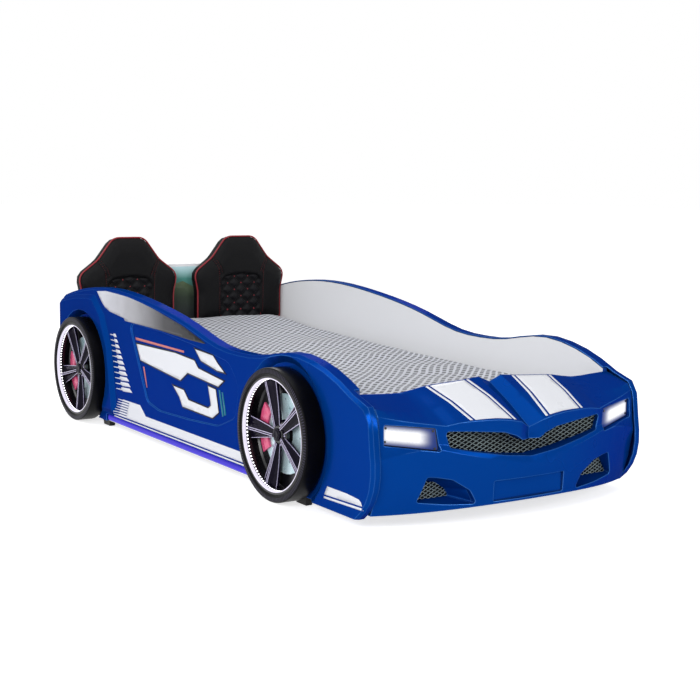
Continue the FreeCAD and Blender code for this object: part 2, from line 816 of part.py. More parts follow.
def wheel_rim(corner):
    """Closed barrel, a stepped hub and five flared blades, each with a raised ridge."""
    radius = size("rim_radius")
    width = size("tyre_width")
    body = new_body("rim_" + corner)
    pad(body, raised_sketch(body, "XY_Plane", "barrel", 2, ring_lines(radius, radius - 6)), width - 5)
    pad(body, raised_sketch(body, "XY_Plane", "back", 2, ring_lines(radius - 5, 60)), 3)
    pad(body, raised_sketch(body, "XY_Plane", "hub", 18, ngon(0, 0, 36, 20)), 14)
    pad(body, raised_sketch(body, "XY_Plane", "boss", 32, ngon(0, 0, 26, 20)), 8)
    outline = lines([(22, -13), (22, 13), (radius - 5, 40), (radius - 5, -30)])
    blade = pad(body, raised_sketch(body, "XY_Plane", "blade", 24, outline), 12)
    polar(body, blade, "Sizes.spoke_count")
    crest = lines([(24, 34), (24, 42), (radius - 12, 50), (radius - 12, 34)])
    ridge = pad(body, raised_sketch(body, "XZ_Plane", "ridge", -1, crest), 9)
    polar(body, ridge, "Sizes.spoke_count")
    return body


def brake_disc(corner):
    """Drilled disc behind the blades."""
    body = new_body("brake_disc_" + corner)
    plate = ngon(0, 0, size("disc_radius"), int(size("wheel_sides"))) + ngon(0, 0, 42, 20)
    pad(body, sketch_on(body, "XY_Plane", "plate", plate), 5)
    drilling = sketch_on(body, "XY_Plane", "drilling", ngon(92, 0, 5))
    hole = pocket(body, drilling, 5, reverse=True)
    polar(body, hole, 8)
    return body


def caliper(corner):
    """Curved block that grips the disc's rim."""
    turns = [math.radians(36 + 14 * k) for k in range(6)]
    arch = [(132 * math.cos(t), 132 * math.sin(t)) for t in turns]
    arch += [(88 * math.cos(t), 88 * math.sin(t)) for t in reversed(turns)]
    body = new_body("caliper_" + corner)
    pad(body, sketch_on(body, "XY_Plane", "arch", lines(arch)), 7.6)
    return body


def light_ring(corner):
    """Lit strip lining the barrel's mouth, facing the hub."""
    body = new_body("light_ring_" + corner)
    inside = size("rim_radius") - 6
    depth = 11
    strip = raised_sketch(body, "XY_Plane", "strip", size("tyre_width") - 3 - depth, ring_lines(inside, inside - 4))
    pad(body, strip, depth)
    return body


def wheels():
    """Four dummy wheels; disc and caliper stand off the tyre's inner face."""
    for corner, (sign, rear) in WHEEL_SPOTS.items():
        for make, outward in ((tyre, 0), (wheel_rim, 0), (light_ring, 0), (brake_disc, 8), (caliper, 13.4)):
            piece = make(corner)
            wheel_place(piece, sign, rear, outward)


def hub_caps():
    """Small black cap with a raised button over each wheel's fixing bolt."""
    caps = []
    for sign, rear in WHEEL_SPOTS.values():
        start = Vector(sign * (size("tyre_outer_x") - size("tyre_width") + 40), REAR_AXLE * rear, AXLE_Z)
        out = Vector(sign, 0, 0)
        caps.append(stud(start, out, 19, 4, 12).fuse(stud(start + out * 4, out, 12, 1.5, 12)))
    group("hub_caps", caps)


def axle_pads():
    """Round spacers that stand each dummy wheel off the flank and take its bolt."""
    spacers = []
    for sign, rear in WHEEL_SPOTS.values():
        start = Vector(sign * (FACE - 20), REAR_AXLE * rear, AXLE_Z)
        spacers.append(stud(start, Vector(sign, 0, 0), 34, 20, 16))
    group("wheel_spacers", spacers)


# ---------------------------------------------------------------- underglow

def underglow():
    """Aluminium channel under each flank between the wheels, with a rounded diffuser."""
    low, high = GROUND + 1, WAIST_BOTTOM - 1
    start, end = 214, REAR_AXLE - 214
    inner = INNER + BOARD
    channel = polygon([(-inner, low), (-inner, high), (-inner - 20, high), (-inner - 20, high - 2),
                       (-inner - 2, high - 2), (-inner - 2, low + 2), (-inner - 20, low + 2), (-inner - 20, low)],
                      cross_plane(start))
    lens = rounded([(-inner - 14, low + 2.3, 0), (-inner - 14, high - 2.3, 0), (-inner - 24, high - 2.3, 5),
                    (-inner - 24, low + 2.3, 5)], cross_plane(start))
    handed("underglow_channel", prism(channel, (0, end - start, 0)))
    handed("underglow_diffuser", prism(lens, (0, end - start, 0)))


# ---------------------------------------------------------------- seats and mattress

SEAT = [
    (-196, 338, 8), (196, 338, 8), (196, 462, 150), (213, 537, 44), (131, 598, 110), (66, 684, 50),
    (-66, 684, 50), (-131, 598, 110), (-213, 537, 44), (-196, 462, 150),
]
SEAT_CENTRE = (0, 470)
SEAT_SEAM = 1594
QUILT = [(-96, 344, 5), (96, 344, 5), (96, 522, 38), (0, 534, 120), (-96, 522, 38)]
QUILT_SLOPE = 41
QUILT_FLOOR = 1589


def scaled(corners, scale, centre, plane):
    moved = [(centre[0] + (a - centre[0]) * scale, centre[1] + (b - centre[1]) * scale, r * scale)
             for a, b, r in corners]
    return rounded(moved, plane)


def seat_cushion():
    """Padded back: gusset drawn in between its seams, crowned face, recess for the quilted panel."""
    back = size("seat_back_y")
    rings = [(1.0, back), (0.985, (back + SEAT_SEAM) / 2), (1.0, SEAT_SEAM), (0.965, SEAT_SEAM - 8),
             (0.9, SEAT_SEAM - 12), (0.72, SEAT_SEAM - 15)]
    cushion = loft([scaled(SEAT, scale, SEAT_CENTRE, cross_plane(y)) for scale, y in rings])
    recess = along(across(grown(QUILT, 0.5)), SEAT_SEAM - 40, QUILT_FLOOR)
    return cushion.cut(recess)


def quilted_panel():
    """Panel whose crossing stitched grooves leave rows of padded diamonds."""
    panel = along(across(QUILT), SEAT_SEAM - 17, QUILT_FLOOR)
    pitch = size("quilt_pitch")
    depth, half = 6, 7
    front = SEAT_SEAM - 17
    rows = 4
    spacing = pitch * math.sin(math.radians(QUILT_SLOPE))
    grooves = []
    for lean in (-QUILT_SLOPE, QUILT_SLOPE):
        for i in range(-rows, rows + 1):
            vee = Part.makePolygon([Vector(0, front - 0.5, -half), Vector(0, front + depth, 0),
                                    Vector(0, front - 0.5, half), Vector(0, front - 0.5, -half)])
            cutter = prism(vee, (500, 0, 0))
            cutter.translate(Vector(-250, 0, i * spacing))
            cutter.rotate(Vector(0, 0, 0), Vector(0, 1, 0), lean)
            cutter.translate(Vector(0, 0, 430))
            grooves.append(cutter)
    one_way, other_way = grooves[:2 * rows + 1], grooves[2 * rows + 1:]
    return panel.cut(Part.makeCompound(one_way)).cut(Part.makeCompound(other_way))


def seat_piping():
    """Piping sewn into the seam round the cushion's face: a six-sided cord with mitred bends."""
    path = [Vector(a, SEAT_SEAM, b) for a, b in softened(SEAT)]
    radius = size("piping_radius")
    rings = []
    for i, point in enumerate(path):
        before = point - path[i - 1]
        after = path[(i + 1) % len(path)] - point
        before.normalize()
        after.normalize()
        outward = before.cross(Vector(0, 1, 0)) + after.cross(Vector(0, 1, 0))
        outward = outward * (2 / outward.Length ** 2)
        turns = [math.pi * k / 3 for k in range(6)]
        rings.append([point + outward * (radius * math.cos(t)) + Vector(0, radius * math.sin(t), 0) for t in turns])
    faces = []
    for here, ahead in zip(rings, rings[1:] + rings[:1]):
        for k in range(6):
            after = (k + 1) % 6
            faces.append(Part.Face(Part.makePolygon([here[k], here[after], ahead[after], ahead[k], here[k]])))
    return Part.Solid(Part.Shell(faces))


def seats():
    board = size("seat_board_thickness")
    for side, sign in (("right", -1), ("left", 1)):
        shift = Vector(sign * size("seat_offset"), 0, 0)
        for name, shape in (
            ("seat_backrest_", seat_cushion()),
            ("seat_quilt_", quilted_panel()),
            ("seat_piping_", seat_piping()),
            ("seat_board_", along(scaled(SEAT, 0.975, SEAT_CENTRE, cross_plane(0)), size("seat_back_y"),
                                  size("seat_back_y") + board)),
        ):
            shape.translate(shift)
            solid(name + side, shape)


def mattress():
    """Crowned mattress with drawn-in sides between its two edge seams."""
    half_x = size("mattress_width") / 2
    front = HOOD_REAR + 2
    back = front + size("mattress_length")
    base = DECK
    top = DECK + size("mattress_height")

    def ring(inset, z, radius):
        return rounded([(-half_x + inset, front + inset, radius), (half_x - inset, front + inset, radius),
                        (half_x - inset, back - inset, radius), (-half_x + inset, back - inset, radius)],
                       floor_plane(z))

    levels = [(10, base, 40), (1, base + 10, 45), (6, (base + top) / 2, 45), (1, top - 14, 45),
              (9, top - 5, 40), (60, top + 1, 40), (200, top + 4, 40)]
    solid("mattress", loft([ring(*level) for level in levels]))


# ---------------------------------------------------------------- light control box

BOX_Z = (150, 214)
SWITCH = {"x": -30, "z": 182, "half_width": 10, "half_height": 13.5, "pivot_y": 1677, "face_y": 1684,
          "pin_radius": 1.5, "pin_reach": 12.5}


def power_parts():
    """Supply box on the headboard's back, its rocker switch and its low-voltage inlet."""
    back = HEADBOARD + BOARD
    shell = rounded([(-70, BOX_Z[0], 6), (70, BOX_Z[0], 6), (70, BOX_Z[1], 6), (-70, BOX_Z[1], 6)],
                    cross_plane(0))
    case = along(shell, back, back + 24)
    x, z = SWITCH["x"], SWITCH["z"]
    wide, tall = SWITCH["half_width"] + 0.6, SWITCH["half_height"] + 0.6
    case = case.cut(box((x - wide, x + wide), (back + 8, back + 30), (z - tall, z + tall)))
    pivot = Vector(x, SWITCH["pivot_y"], z)
    case = case.cut(pin(pivot, SWITCH["pin_radius"] + 0.3, SWITCH["pin_reach"] + 0.5))
    inlet_seat = Vector(36, back + 12, z)
    outward = Vector(0, 1, 0)
    case = case.cut(stud(inlet_seat, outward, 6.3, 20, 12))
    solid("power_box", case)

    inlet = stud(inlet_seat, outward, 6, 12, 12).cut(stud(inlet_seat + outward * 2.5, outward, 2.75, 10, 12))
    solid("power_inlet", inlet.fuse(stud(inlet_seat + outward * 2, outward, 1, 9, 6)).removeSplitter())

    half = SWITCH["half_height"]
    face = SWITCH["face_y"]
    profile = polygon([(face - 4.5, z - half + 1), (face - 6.5, z - half + 2), (face - 9, z),
                       (face - 6.5, z + half - 2), (face - 1.5, z + half - 1), (face - 3.2, z)],
                      side_plane(x - SWITCH["half_width"]))
    rocker = prism(profile, (2 * SWITCH["half_width"], 0, 0))
    solid("rocker_switch", rocker.fuse(pin(pivot, SWITCH["pin_radius"], SWITCH["pin_reach"])))


def pin(centre, radius, reach):
    """Round pin along X through a centre, reaching out the same way each side."""
    return Part.makeCylinder(radius, 2 * reach, centre - Vector(reach, 0, 0), Vector(1, 0, 0))


# ---------------------------------------------------------------- build and write

side_boards()
cross_boards()
ledger_rails()
bed_slats()
corner_brackets()
feet()
handed("flank_shell", flank_shell())
solid("front_mask", front_mask())
meshes()
lamps()
wheels()
hub_caps()
axle_pads()
underglow()
seats()
mattress()
power_parts()
doc.recompute()

for item in doc.Objects:
    if "Invalid" in item.State or "Error" in item.State:
        raise RuntimeError(f"{item.Label} did not build: {item.State}")
os.makedirs("parts", exist_ok=True)
whole = FreeCAD.BoundBox()
for piece in PARTS:
    shape = piece.Shape
    if shape.isNull() or not shape.isValid() or not shape.Solids:
        raise RuntimeError(f"{piece.Label} has no valid shape")
    shape.exportStep(f"parts/{piece.Label}.step")
    whole.add(shape.BoundBox)
print(len(PARTS), "pieces", whole)
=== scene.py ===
import math
import bmesh
import bpy
import numpy as np
from mathutils import Matrix, Vector, geometry
from mathutils.bvhtree import BVHTree


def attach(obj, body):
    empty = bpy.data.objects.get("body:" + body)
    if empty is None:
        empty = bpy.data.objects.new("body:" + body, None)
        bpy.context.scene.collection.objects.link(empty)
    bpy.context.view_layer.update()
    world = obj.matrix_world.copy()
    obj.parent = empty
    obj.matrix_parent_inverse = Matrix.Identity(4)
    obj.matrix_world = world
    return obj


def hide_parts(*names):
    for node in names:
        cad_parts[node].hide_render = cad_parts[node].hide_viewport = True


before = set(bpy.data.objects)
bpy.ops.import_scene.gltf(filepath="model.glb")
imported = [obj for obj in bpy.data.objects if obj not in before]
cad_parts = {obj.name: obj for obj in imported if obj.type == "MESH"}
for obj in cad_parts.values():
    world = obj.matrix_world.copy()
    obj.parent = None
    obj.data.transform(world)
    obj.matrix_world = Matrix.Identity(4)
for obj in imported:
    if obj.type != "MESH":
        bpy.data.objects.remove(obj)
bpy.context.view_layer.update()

scene = bpy.context.scene
scene.view_settings.view_transform = "Standard"

car = {"frontAxleY": -0.585, "wheelbase": 1.46, "axleHeight": 0.198, "tyreInnerX": 0.482}


def at(x, station, z):
    # millimetres with stations counted back from the front axle, to metres in the frame
    return Vector((x / 1000, station / 1000 + car["frontAxleY"], z / 1000))


def tone(red, green, blue):
    # an 8-bit screen colour as Blender's linear colour
    def straight(value):
        value /= 255
        return value / 12.92 if value <= 0.04045 else ((value + 0.055) / 1.055) ** 2.4
    return (straight(red), straight(green), straight(blue), 1.0)


# camera, lights and floor

view = {"place": (-2.4588, -3.7823, 0.9492), "yaw": 33.656, "pitch": -7.801, "roll": 0.969,
        "lens": 67.645, "shift": (0.0232, 0.0050)}


def makeCamera():
    yaw, pitch, roll = (math.radians(view[k]) for k in ("yaw", "pitch", "roll"))
    data = bpy.data.cameras.new("camera")
    data.lens, data.sensor_width = view["lens"], 36
    data.shift_x, data.shift_y = view["shift"]
    scene.camera = newObject("camera", data)
    turn = Matrix.Rotation(-yaw, 4, "Z") @ Matrix.Rotation(math.pi / 2 + pitch, 4, "X") @ Matrix.Rotation(roll, 4, "Z")
    scene.camera.matrix_world = Matrix.Translation(view["place"]) @ turn


studio = {
    "overhead": {"place": (-0.2, -0.4, 3.4), "aim": (0, 0, 0.2), "size": (2.2, 3.2), "power": 24},
    "overLeft": {"place": (-1.7, 0.7, 2.2), "aim": (0.45, 0.1, 0.42), "size": (1.0, 2.2), "power": 20},
    "frontLeft": {"place": (-3.6, -2.4, 1.9), "aim": (0, -0.2, 0.25), "size": (2.2, 1.4), "power": 84},
    "frontRight": {"place": (1.4, -4.2, 1.8), "aim": (0.1, -0.8, 0.25), "size": (1.4, 1.2), "power": 44},
    "back": {"place": (2.2, 3.4, 2.4), "aim": (0, 0.6, 0.4), "size": (2.0, 1.4), "power": 26},
}
backdrop = {"room": 0.35, "floorTone": 0.86, "floorLift": 0.71, "size": 60}


def seenDirectly(tree):
    # 1 where the camera, a gloss or a clear surface looks at the backdrop
    path = put(tree, "LightPath").outputs
    clear = calc(tree, "MAXIMUM", path["Is Camera Ray"], path["Is Transmission Ray"])
    return calc(tree, "MAXIMUM", clear, path["Is Glossy Ray"])


def makeStudio():
    for name, lamp in studio.items():
        data = bpy.data.lights.new(name, "AREA")
        data.shape, data.energy = "RECTANGLE", lamp["power"]
        data.size, data.size_y = lamp["size"]
        light = newObject(name, data)
        light.location = lamp["place"]
        light.rotation_euler = (Vector(lamp["aim"]) - light.location).to_track_quat("-Z", "Y").to_euler()
    scene.world = bpy.data.worlds.new("studio")
    scene.world.use_nodes = True
    tree = scene.world.node_tree
    background = tree.nodes["Background"]
    background.inputs["Color"].default_value = (1, 1, 1, 1)
    level = calc(tree, "MULTIPLY_ADD", seenDirectly(tree), 1 - backdrop["room"], backdrop["room"])
    feed(background, "Strength", level)

    tree, shader = newFinish("paleFloor", (backdrop["floorTone"],) * 3 + (1,), 0.9, specular=0.1)
    shader.inputs["Emission Color"].default_value = (1, 1, 1, 1)
    feed(shader, "Emission Strength", calc(tree, "MULTIPLY", seenDirectly(tree), backdrop["floorLift"]))
    half = backdrop["size"] / 2
    square = [(-half, -half, 0), (half, -half, 0), (half, half, 0), (-half, half, 0)]
    meshPiece("floor", square, [(0, 1, 2, 3)], "paleFloor")


# node helpers

def put(tree, kind, ins=None, **props):
    # one node, of the shader kind unless its full name is given, its inputs linked or set
    made = tree.nodes.new(kind if "Node" in kind else "ShaderNode" + kind)
    for key, value in props.items():
        setattr(made, key, value)
    for key, value in (ins or {}).items():
        if isinstance(value, bpy.types.NodeSocket):
            tree.links.new(value, made.inputs[key])
        else:
            made.inputs[key].default_value = value
    return made


def feed(node, name, value):
    node.id_data.links.new(value, node.inputs[name])


def calc(tree, operation, *values):
    return put(tree, "Math", dict(enumerate(values)), operation=operation).outputs[0]


def mixTones(tree, factor, low, high):
    return put(tree, "Mix", {0: factor, 6: low, 7: high}, data_type="RGBA").outputs[2]


def ramp(tree, factor, low, high, start=0.0, end=1.0, ease="LINEAR"):
    # change from one value to another
    return put(tree, "MapRange", {"Value": factor, "From Min": start, "From Max": end, "To Min": low,
                                  "To Max": high}, interpolation_type=ease).outputs[0]


def axis(tree, vector, name):
    return put(tree, "SeparateXYZ", {0: vector}).outputs[name]


def objectPlace(tree):
    return put(tree, "TexCoord").outputs["Object"]


def swayed(tree, vector, scale, detail, amount):
    # a place pushed about by soft noise
    noise = put(tree, "TexNoise", {"Vector": vector, "Scale": scale, "Detail": detail}).outputs["Color"]
    push = put(tree, "VectorMath", {0: noise, "Scale": amount}, operation="SCALE").outputs[0]
    return put(tree, "VectorMath", {0: vector, 1: push}, operation="ADD").outputs[0]


def openGroup(name, ins, family="Shader"):
    # new node group with named inputs
    tree = bpy.data.node_groups.new(name, family + "NodeTree")
    for label, kind, value in ins:
        socket = tree.interface.new_socket(label, in_out="INPUT", socket_type="NodeSocket" + kind)
        if value is not None:
            socket.default_value = value
    return tree, tree.nodes.new("NodeGroupInput").outputs


def closeGroup(tree, kind="Float", **results):
    for label in results:
        tree.interface.new_socket(label, in_out="OUTPUT", socket_type="NodeSocket" + kind)
    end = tree.nodes.new("NodeGroupOutput")
    for label, socket in results.items():
        feed(end, label, socket)
    return tree


# mesh helpers

def newObject(name, data):
    made = bpy.data.objects.new(name, data)
    scene.collection.objects.link(made)
    return made


def meshPiece(name, verts, faces, finish=None, sharpen=35):
    mesh = bpy.data.meshes.new(name)
    mesh.from_pydata([tuple(v) for v in verts], [], faces)
    mesh.update()
    mesh.shade_smooth()
    mesh.set_sharp_from_angle(angle=math.radians(sharpen))
    if finish:
        mesh.materials.append(finishes[finish])
    return newObject(name, mesh)


def settle(piece):
    # turns what the modifiers make into the piece's own mesh
    bpy.context.view_layer.update()
    graph = bpy.context.evaluated_depsgraph_get()
    mesh = bpy.data.meshes.new_from_object(piece.evaluated_get(graph), preserve_all_data_layers=True, depsgraph=graph)
    piece.modifiers.clear()
    piece.data = mesh
    return piece


def finishPiece(piece, slot, *nodes, body="bed_frame"):
    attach(piece, body)
    if nodes:
        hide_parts(*nodes)


def mergedNode(name):
    # points and faces of a CAD node, its loose triangles joined
    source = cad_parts[name]
    work = bmesh.new()
    work.from_mesh(source.data)
    work.transform(source.matrix_world)
    bmesh.ops.remove_doubles(work, verts=work.verts, dist=2e-5)
    work.verts.ensure_lookup_table()
    points = [v.co.copy() for v in work.verts]
    faces = [tuple(v.index for v in f.verts) for f in work.faces]
    work.free()
    return points, faces


def welded(piece, gap=1e-6, outward=False):
    # joins points that lie together, and may turn all faces outwards
    work = bmesh.new()
    work.from_mesh(piece.data)
    bmesh.ops.remove_doubles(work, verts=work.verts, dist=gap)
    if outward:
        bmesh.ops.recalc_face_normals(work, faces=work.faces)
    work.to_mesh(piece.data)
    work.free()
    return piece


def solidPiece(name, shape, finish=None, **more):
    return welded(meshPiece(name, *shape, finish, **more), outward=True)


def polar(radius, turn, *height):
    return (radius * math.cos(turn), radius * math.sin(turn), *height)


def polygon(centre, radius, sides):
    return [tuple(c + d for c, d in zip(centre, polar(radius, 2 * math.pi * k / sides))) for k in range(sides)]


def gridFaces(rows, columns, wrapRows=False):
    # quads between rows of points, each row closed on itself
    return [(i * columns + j, (i + 1) % rows * columns + j, (i + 1) % rows * columns + (j + 1) % columns,
             i * columns + (j + 1) % columns) for i in range(rows if wrapRows else rows - 1) for j in range(columns)]


def lathe(profile, sides):
    # closed ring about +Z from a closed (radius, height) profile in millimetres
    verts = [polar(r / 1000, 2 * math.pi * k / sides, z / 1000) for k in range(sides) for r, z in profile]
    return verts, gridFaces(sides, len(profile), True)


def swept(rings):
    # closed skin through like rings of points given in millimetres
    count, n = len(rings), len(rings[0])
    verts = [tuple(c / 1000 for c in p) for ring in rings for p in ring]
    ends = [tuple(range(n)), tuple(reversed(range((count - 1) * n, count * n)))]
    return verts, gridFaces(count, n) + ends


def block(outline, low, high):
    # straight-sided solid from an anticlockwise outline
    count = len(outline)
    verts = [(a, b, low) for a, b in outline] + [(a, b, high) for a, b in outline]
    faces = [tuple(reversed(range(count))), tuple(range(count, 2 * count))]
    faces += [(i, (i + 1) % count, (i + 1) % count + count, i + count) for i in range(count)]
    return verts, faces


def slabFaces(triangles, count):
    # front triangles, the same ones behind them, and walls round the rim
    edges = {(a, b) for f in triangles for a, b in zip(f, f[1:] + f[:1])}
    back = [tuple(i + count for i in reversed(f)) for f in triangles]
    return triangles + back + [(b, a, a + count, b + count) for a, b in sorted(edges) if (b, a) not in edges]


def joined(*parts):
    verts, faces = [], []
    for partVerts, partFaces in parts:
        start = len(verts)
        verts += list(partVerts)
        faces += [tuple(start + i for i in face) for face in partFaces]
    return verts, faces


# shared surface effects

def makeGrain():
    # even speckle for height, and slow patches for tone
    tree, ins = openGroup("surfaceGrain", [("Vector", "Vector", None), ("Scale", "Float", 400.0),
                                           ("Patch Scale", "Float", 6.0)])
    fine = put(tree, "TexNoise", {"Vector": ins["Vector"], "Scale": ins["Scale"], "Detail": 3.0, "Roughness": 0.6})
    slow = put(tree, "TexNoise", {"Vector": ins["Vector"], "Scale": ins["Patch Scale"], "Detail": 4.0})
    return closeGroup(tree, Height=fine.outputs[0], Tone=slow.outputs[0])


def makeLeather():
    # pebbled cells in the relief; the tone follows the wrinkles, darker where they sink and lighter where they rise:
    # painted shade and highlight
    tree, ins = openGroup("leatherGrain", [("Vector", "Vector", None), ("Scale", "Float", 650.0)])
    moved = swayed(tree, ins["Vector"], 90.0, 2.0, 0.004)
    cells = put(tree, "TexVoronoi", {"Vector": moved, "Scale": ins["Scale"]}, feature="DISTANCE_TO_EDGE")
    pebble = ramp(tree, cells.outputs["Distance"], 0.0, 1.0, 0.0, 0.22)
    wrinkle = put(tree, "TexNoise", {"Vector": ins["Vector"], "Scale": 38.0, "Detail": 5.0,
                                     "Distortion": 0.6}).outputs[0]
    return closeGroup(tree, Height=calc(tree, "MULTIPLY_ADD", wrinkle, 0.8, pebble), Tone=wrinkle)


def makeWeave():
    # plain weave: crossing threads that pass over and under each other
    tree, ins = openGroup("plainWeave", [("Vector", "Vector", None), ("Threads", "Float", 900.0)])
    waves = []
    for name in ("X", "Y"):
        turned = calc(tree, "MULTIPLY", axis(tree, ins["Vector"], name), ins["Threads"])
        waves.append(calc(tree, "SINE", calc(tree, "MULTIPLY", turned, math.pi)))
    trims = calc(tree, "MAXIMUM", *[calc(tree, "ABSOLUTE", wave) for wave in waves])
    height = calc(tree, "MULTIPLY_ADD", calc(tree, "MULTIPLY", *waves), 0.5, trims)
    # the tone is low where the threads dip, and serves as painted shade between them
    return closeGroup(tree, Height=height, Tone=trims)


grain, leather, weave = makeGrain(), makeLeather(), makeWeave()
finishes = {}


def marksOf(tree, scale, patch):
    place = objectPlace(tree)
    return put(tree, "Group", {"Vector": place, "Scale": scale, "Patch Scale": patch}, node_tree=grain).outputs


def scaled(colour, factor):
    return tuple(min(c * factor, 1) for c in colour[:3]) + (1,)


def relief(shader, height, strength, distance):
    bump = put(shader.id_data, "Bump", {"Height": height, "Strength": strength, "Distance": distance})
    feed(shader, "Normal", bump.outputs[0])


def blendIn(shader, factor, colour, name="Base Color"):
    # mixes a colour over what already feeds an input
    below = shader.inputs[name].links[0].from_socket
    feed(shader, name, mixTones(shader.id_data, factor, below, colour))


def newFinish(name, colour, roughness, metallic=0.0, coat=0.0, specular=0.5):
    finishes[name] = bpy.data.materials.new(name)
    finishes[name].use_nodes = True
    tree = finishes[name].node_tree
    shader = tree.nodes["Principled BSDF"]
    for socket, value in (("Base Color", colour), ("Roughness", roughness), ("Metallic", metallic),
                          ("Coat Weight", coat), ("Coat Roughness", 0.06), ("Specular IOR Level", specular)):
        shader.inputs[socket].default_value = value
    return tree, shader


def speckled(name, colour, roughness, scale=400.0, patch=6.0, depth=0.0002, shade=0.82, spread=0.1, **more):
    # a finish with fine relief, slow tone patches and a little change in gloss
    tree, shader = newFinish(name, colour, roughness, **more)
    marks = marksOf(tree, scale, patch)
    feed(shader, "Base Color", mixTones(tree, marks["Tone"], scaled(colour, shade), colour))
    smooth, rough = max(roughness - spread, 0.02), min(roughness + spread, 1.0)
    feed(shader, "Roughness", ramp(tree, marks["Tone"], smooth, rough, 0.3, 0.7))
    relief(shader, marks["Height"], 0.5, depth)
    return tree, shader


def glowing(name, colour, strength, base=(0.8, 0.8, 0.85, 1), roughness=0.35):
    tree, shader = newFinish(name, base, roughness)
    feed(shader, "Emission Color", mixTones(tree, marksOf(tree, 300.0, 30.0)["Tone"], scaled(colour, 0.82), colour))
    shader.inputs["Emission Strength"].default_value = strength
    return tree, shader


paint = {
    "surface": {"colour": tone(1, 58, 138), "roughness": 0.24, "metallic": 0.4, "specular": 0.0, "coat": 0.022,
                "scale": 90.0, "patch": 2.6, "depth": 0.0004, "shade": 0.84, "spread": 0.05},
    # edgeHighlightTone is the colour of the painted highlight along the rolled edges
    "tint": tone(24, 92, 170), "relief": 0.16, "edge": 0.0045, "edgeHighlightTone": tone(78, 138, 212),
}


def makePaint():
    # gloss blue thermoformed plastic with a fine metal flake, its edges rounded by the forming
    tree, shader = speckled("glossBlue", **paint["surface"])
    shader.inputs["Specular Tint"].default_value = paint["tint"]
    bump = shader.inputs["Normal"].links[0].from_node
    bump.inputs["Strength"].default_value = paint["relief"]
    rolled = put(tree, "Bevel", {"Radius": paint["edge"]}, samples=8).outputs[0]
    feed(bump, "Normal", rolled)
    feed(shader, "Coat Normal", rolled)
    # painted highlight: the colour pales where the rolled edges turn, standing in for the gloss that they catch
    straight = put(tree, "VectorMath", {0: put(tree, "NewGeometry").outputs["Normal"], 1: rolled},
                   operation="DOT_PRODUCT").outputs["Value"]
    blendIn(shader, ramp(tree, straight, 0.6, 0.0, 0.86, 0.99), paint["edgeHighlightTone"])


def makeLaminate():
    # white boards; the edged ones are blue but for the face towards the mattress
    for name in ("whiteLaminate", "edgedLaminate"):
        tree, shader = speckled(name, tone(242, 243, 246), 0.38, scale=700.0, patch=1.5, depth=0.00005, shade=0.95,
                                spread=0.06)
    side = calc(tree, "SIGN", axis(tree, objectPlace(tree), "X"))
    facing = axis(tree, put(tree, "NewGeometry").outputs["True Normal"], "X")
    outside = calc(tree, "GREATER_THAN", calc(tree, "MULTIPLY", side, facing), -0.5)
    blendIn(shader, outside, paint["surface"]["colour"])


def makeWood():
    # pale sprung slats, grain along X
    tree, shader = newFinish("slatWood", tone(214, 184, 140), 0.55)
    stretched = put(tree, "Mapping", {"Vector": objectPlace(tree), "Scale": (1.2, 26.0, 26.0)}).outputs[0]
    rings = put(tree, "TexNoise", {"Vector": stretched, "Scale": 2.4, "Detail": 6.0, "Distortion": 1.4}).outputs[0]
    lines = put(tree, "TexWave", {"Vector": stretched, "Scale": 1.6, "Distortion": 5.0, "Detail": 3.0},
                bands_direction="Y").outputs["Fac"]
    feed(shader, "Base Color", mixTones(tree, rings, tone(176, 138, 92), tone(226, 200, 158)))
    relief(shader, lines, 0.3, 0.0003)


def fromAxle(tree):
    # distance and turn about the wheel's own axle, from the attribute that its pieces hold
    spot = put(tree, "Attribute", attribute_name="fromAxle").outputs["Vector"]
    radius = put(tree, "VectorMath", {0: spot}, operation="LENGTH").outputs["Value"]
    return radius, calc(tree, "ARCTAN2", axis(tree, spot, "Z"), axis(tree, spot, "Y"))


ribbing = {"count": 150.0, "radius": 0.1865, "reach": (0.0055, 0.0065), "gap": 0.35, "strength": 0.55}


def makeRubber():
    # satin rubber with fine radial ribs round the outer part of its wall, drawn only as lighter colour: a painted
    # highlight on the ribs
    tree, shader = speckled("tyreRubber", tone(7, 7, 10), 0.36, scale=500.0, patch=9.0, depth=0.0003, specular=0.07)
    radius, turn = fromAxle(tree)
    ribs = calc(tree, "SINE", calc(tree, "MULTIPLY", turn, ribbing["count"]))
    away = calc(tree, "ABSOLUTE", calc(tree, "SUBTRACT", radius, ribbing["radius"]))
    ribHighlight = calc(tree, "MULTIPLY", calc(tree, "GREATER_THAN", ribs, ribbing["gap"]),
                  ramp(tree, away, 1.0, 0.0, *ribbing["reach"]))
    # painted highlight: the ribs are lightened as if they caught the light
    blendIn(shader, calc(tree, "MULTIPLY", ribHighlight, ribbing["strength"]), tone(74, 70, 92))


def makeDisc():
    # turned steel with fine rings
    tree, shader = newFinish("turnedSteel", tone(168, 196, 206), 0.3, metallic=0.45)
    rings = calc(tree, "SINE", calc(tree, "MULTIPLY", fromAxle(tree)[0], 5200.0))
    marks = marksOf(tree, 500.0, 14.0)
    feed(shader, "Base Color", mixTones(tree, marks["Tone"], tone(150, 196, 204), tone(232, 244, 250)))
    feed(shader, "Roughness", ramp(tree, rings, 0.24, 0.4, -1.0, 1.0))
    relief(shader, rings, 0.25, 0.0001)


lens = {
    # the light fades towards the inner end, the tip, and the rims on both sides of a sloping middle line
    "inner": (0.306, 0.360), "tip": (0.440, 0.456), "tipLight": 0.5, "middle": 0.2065, "slope": 0.13,
    "rims": (0.008, 0.032), "rimLight": 0.06, "contrast": 1.7, "dim": tone(22, 44, 112), "strength": 1.1,
}


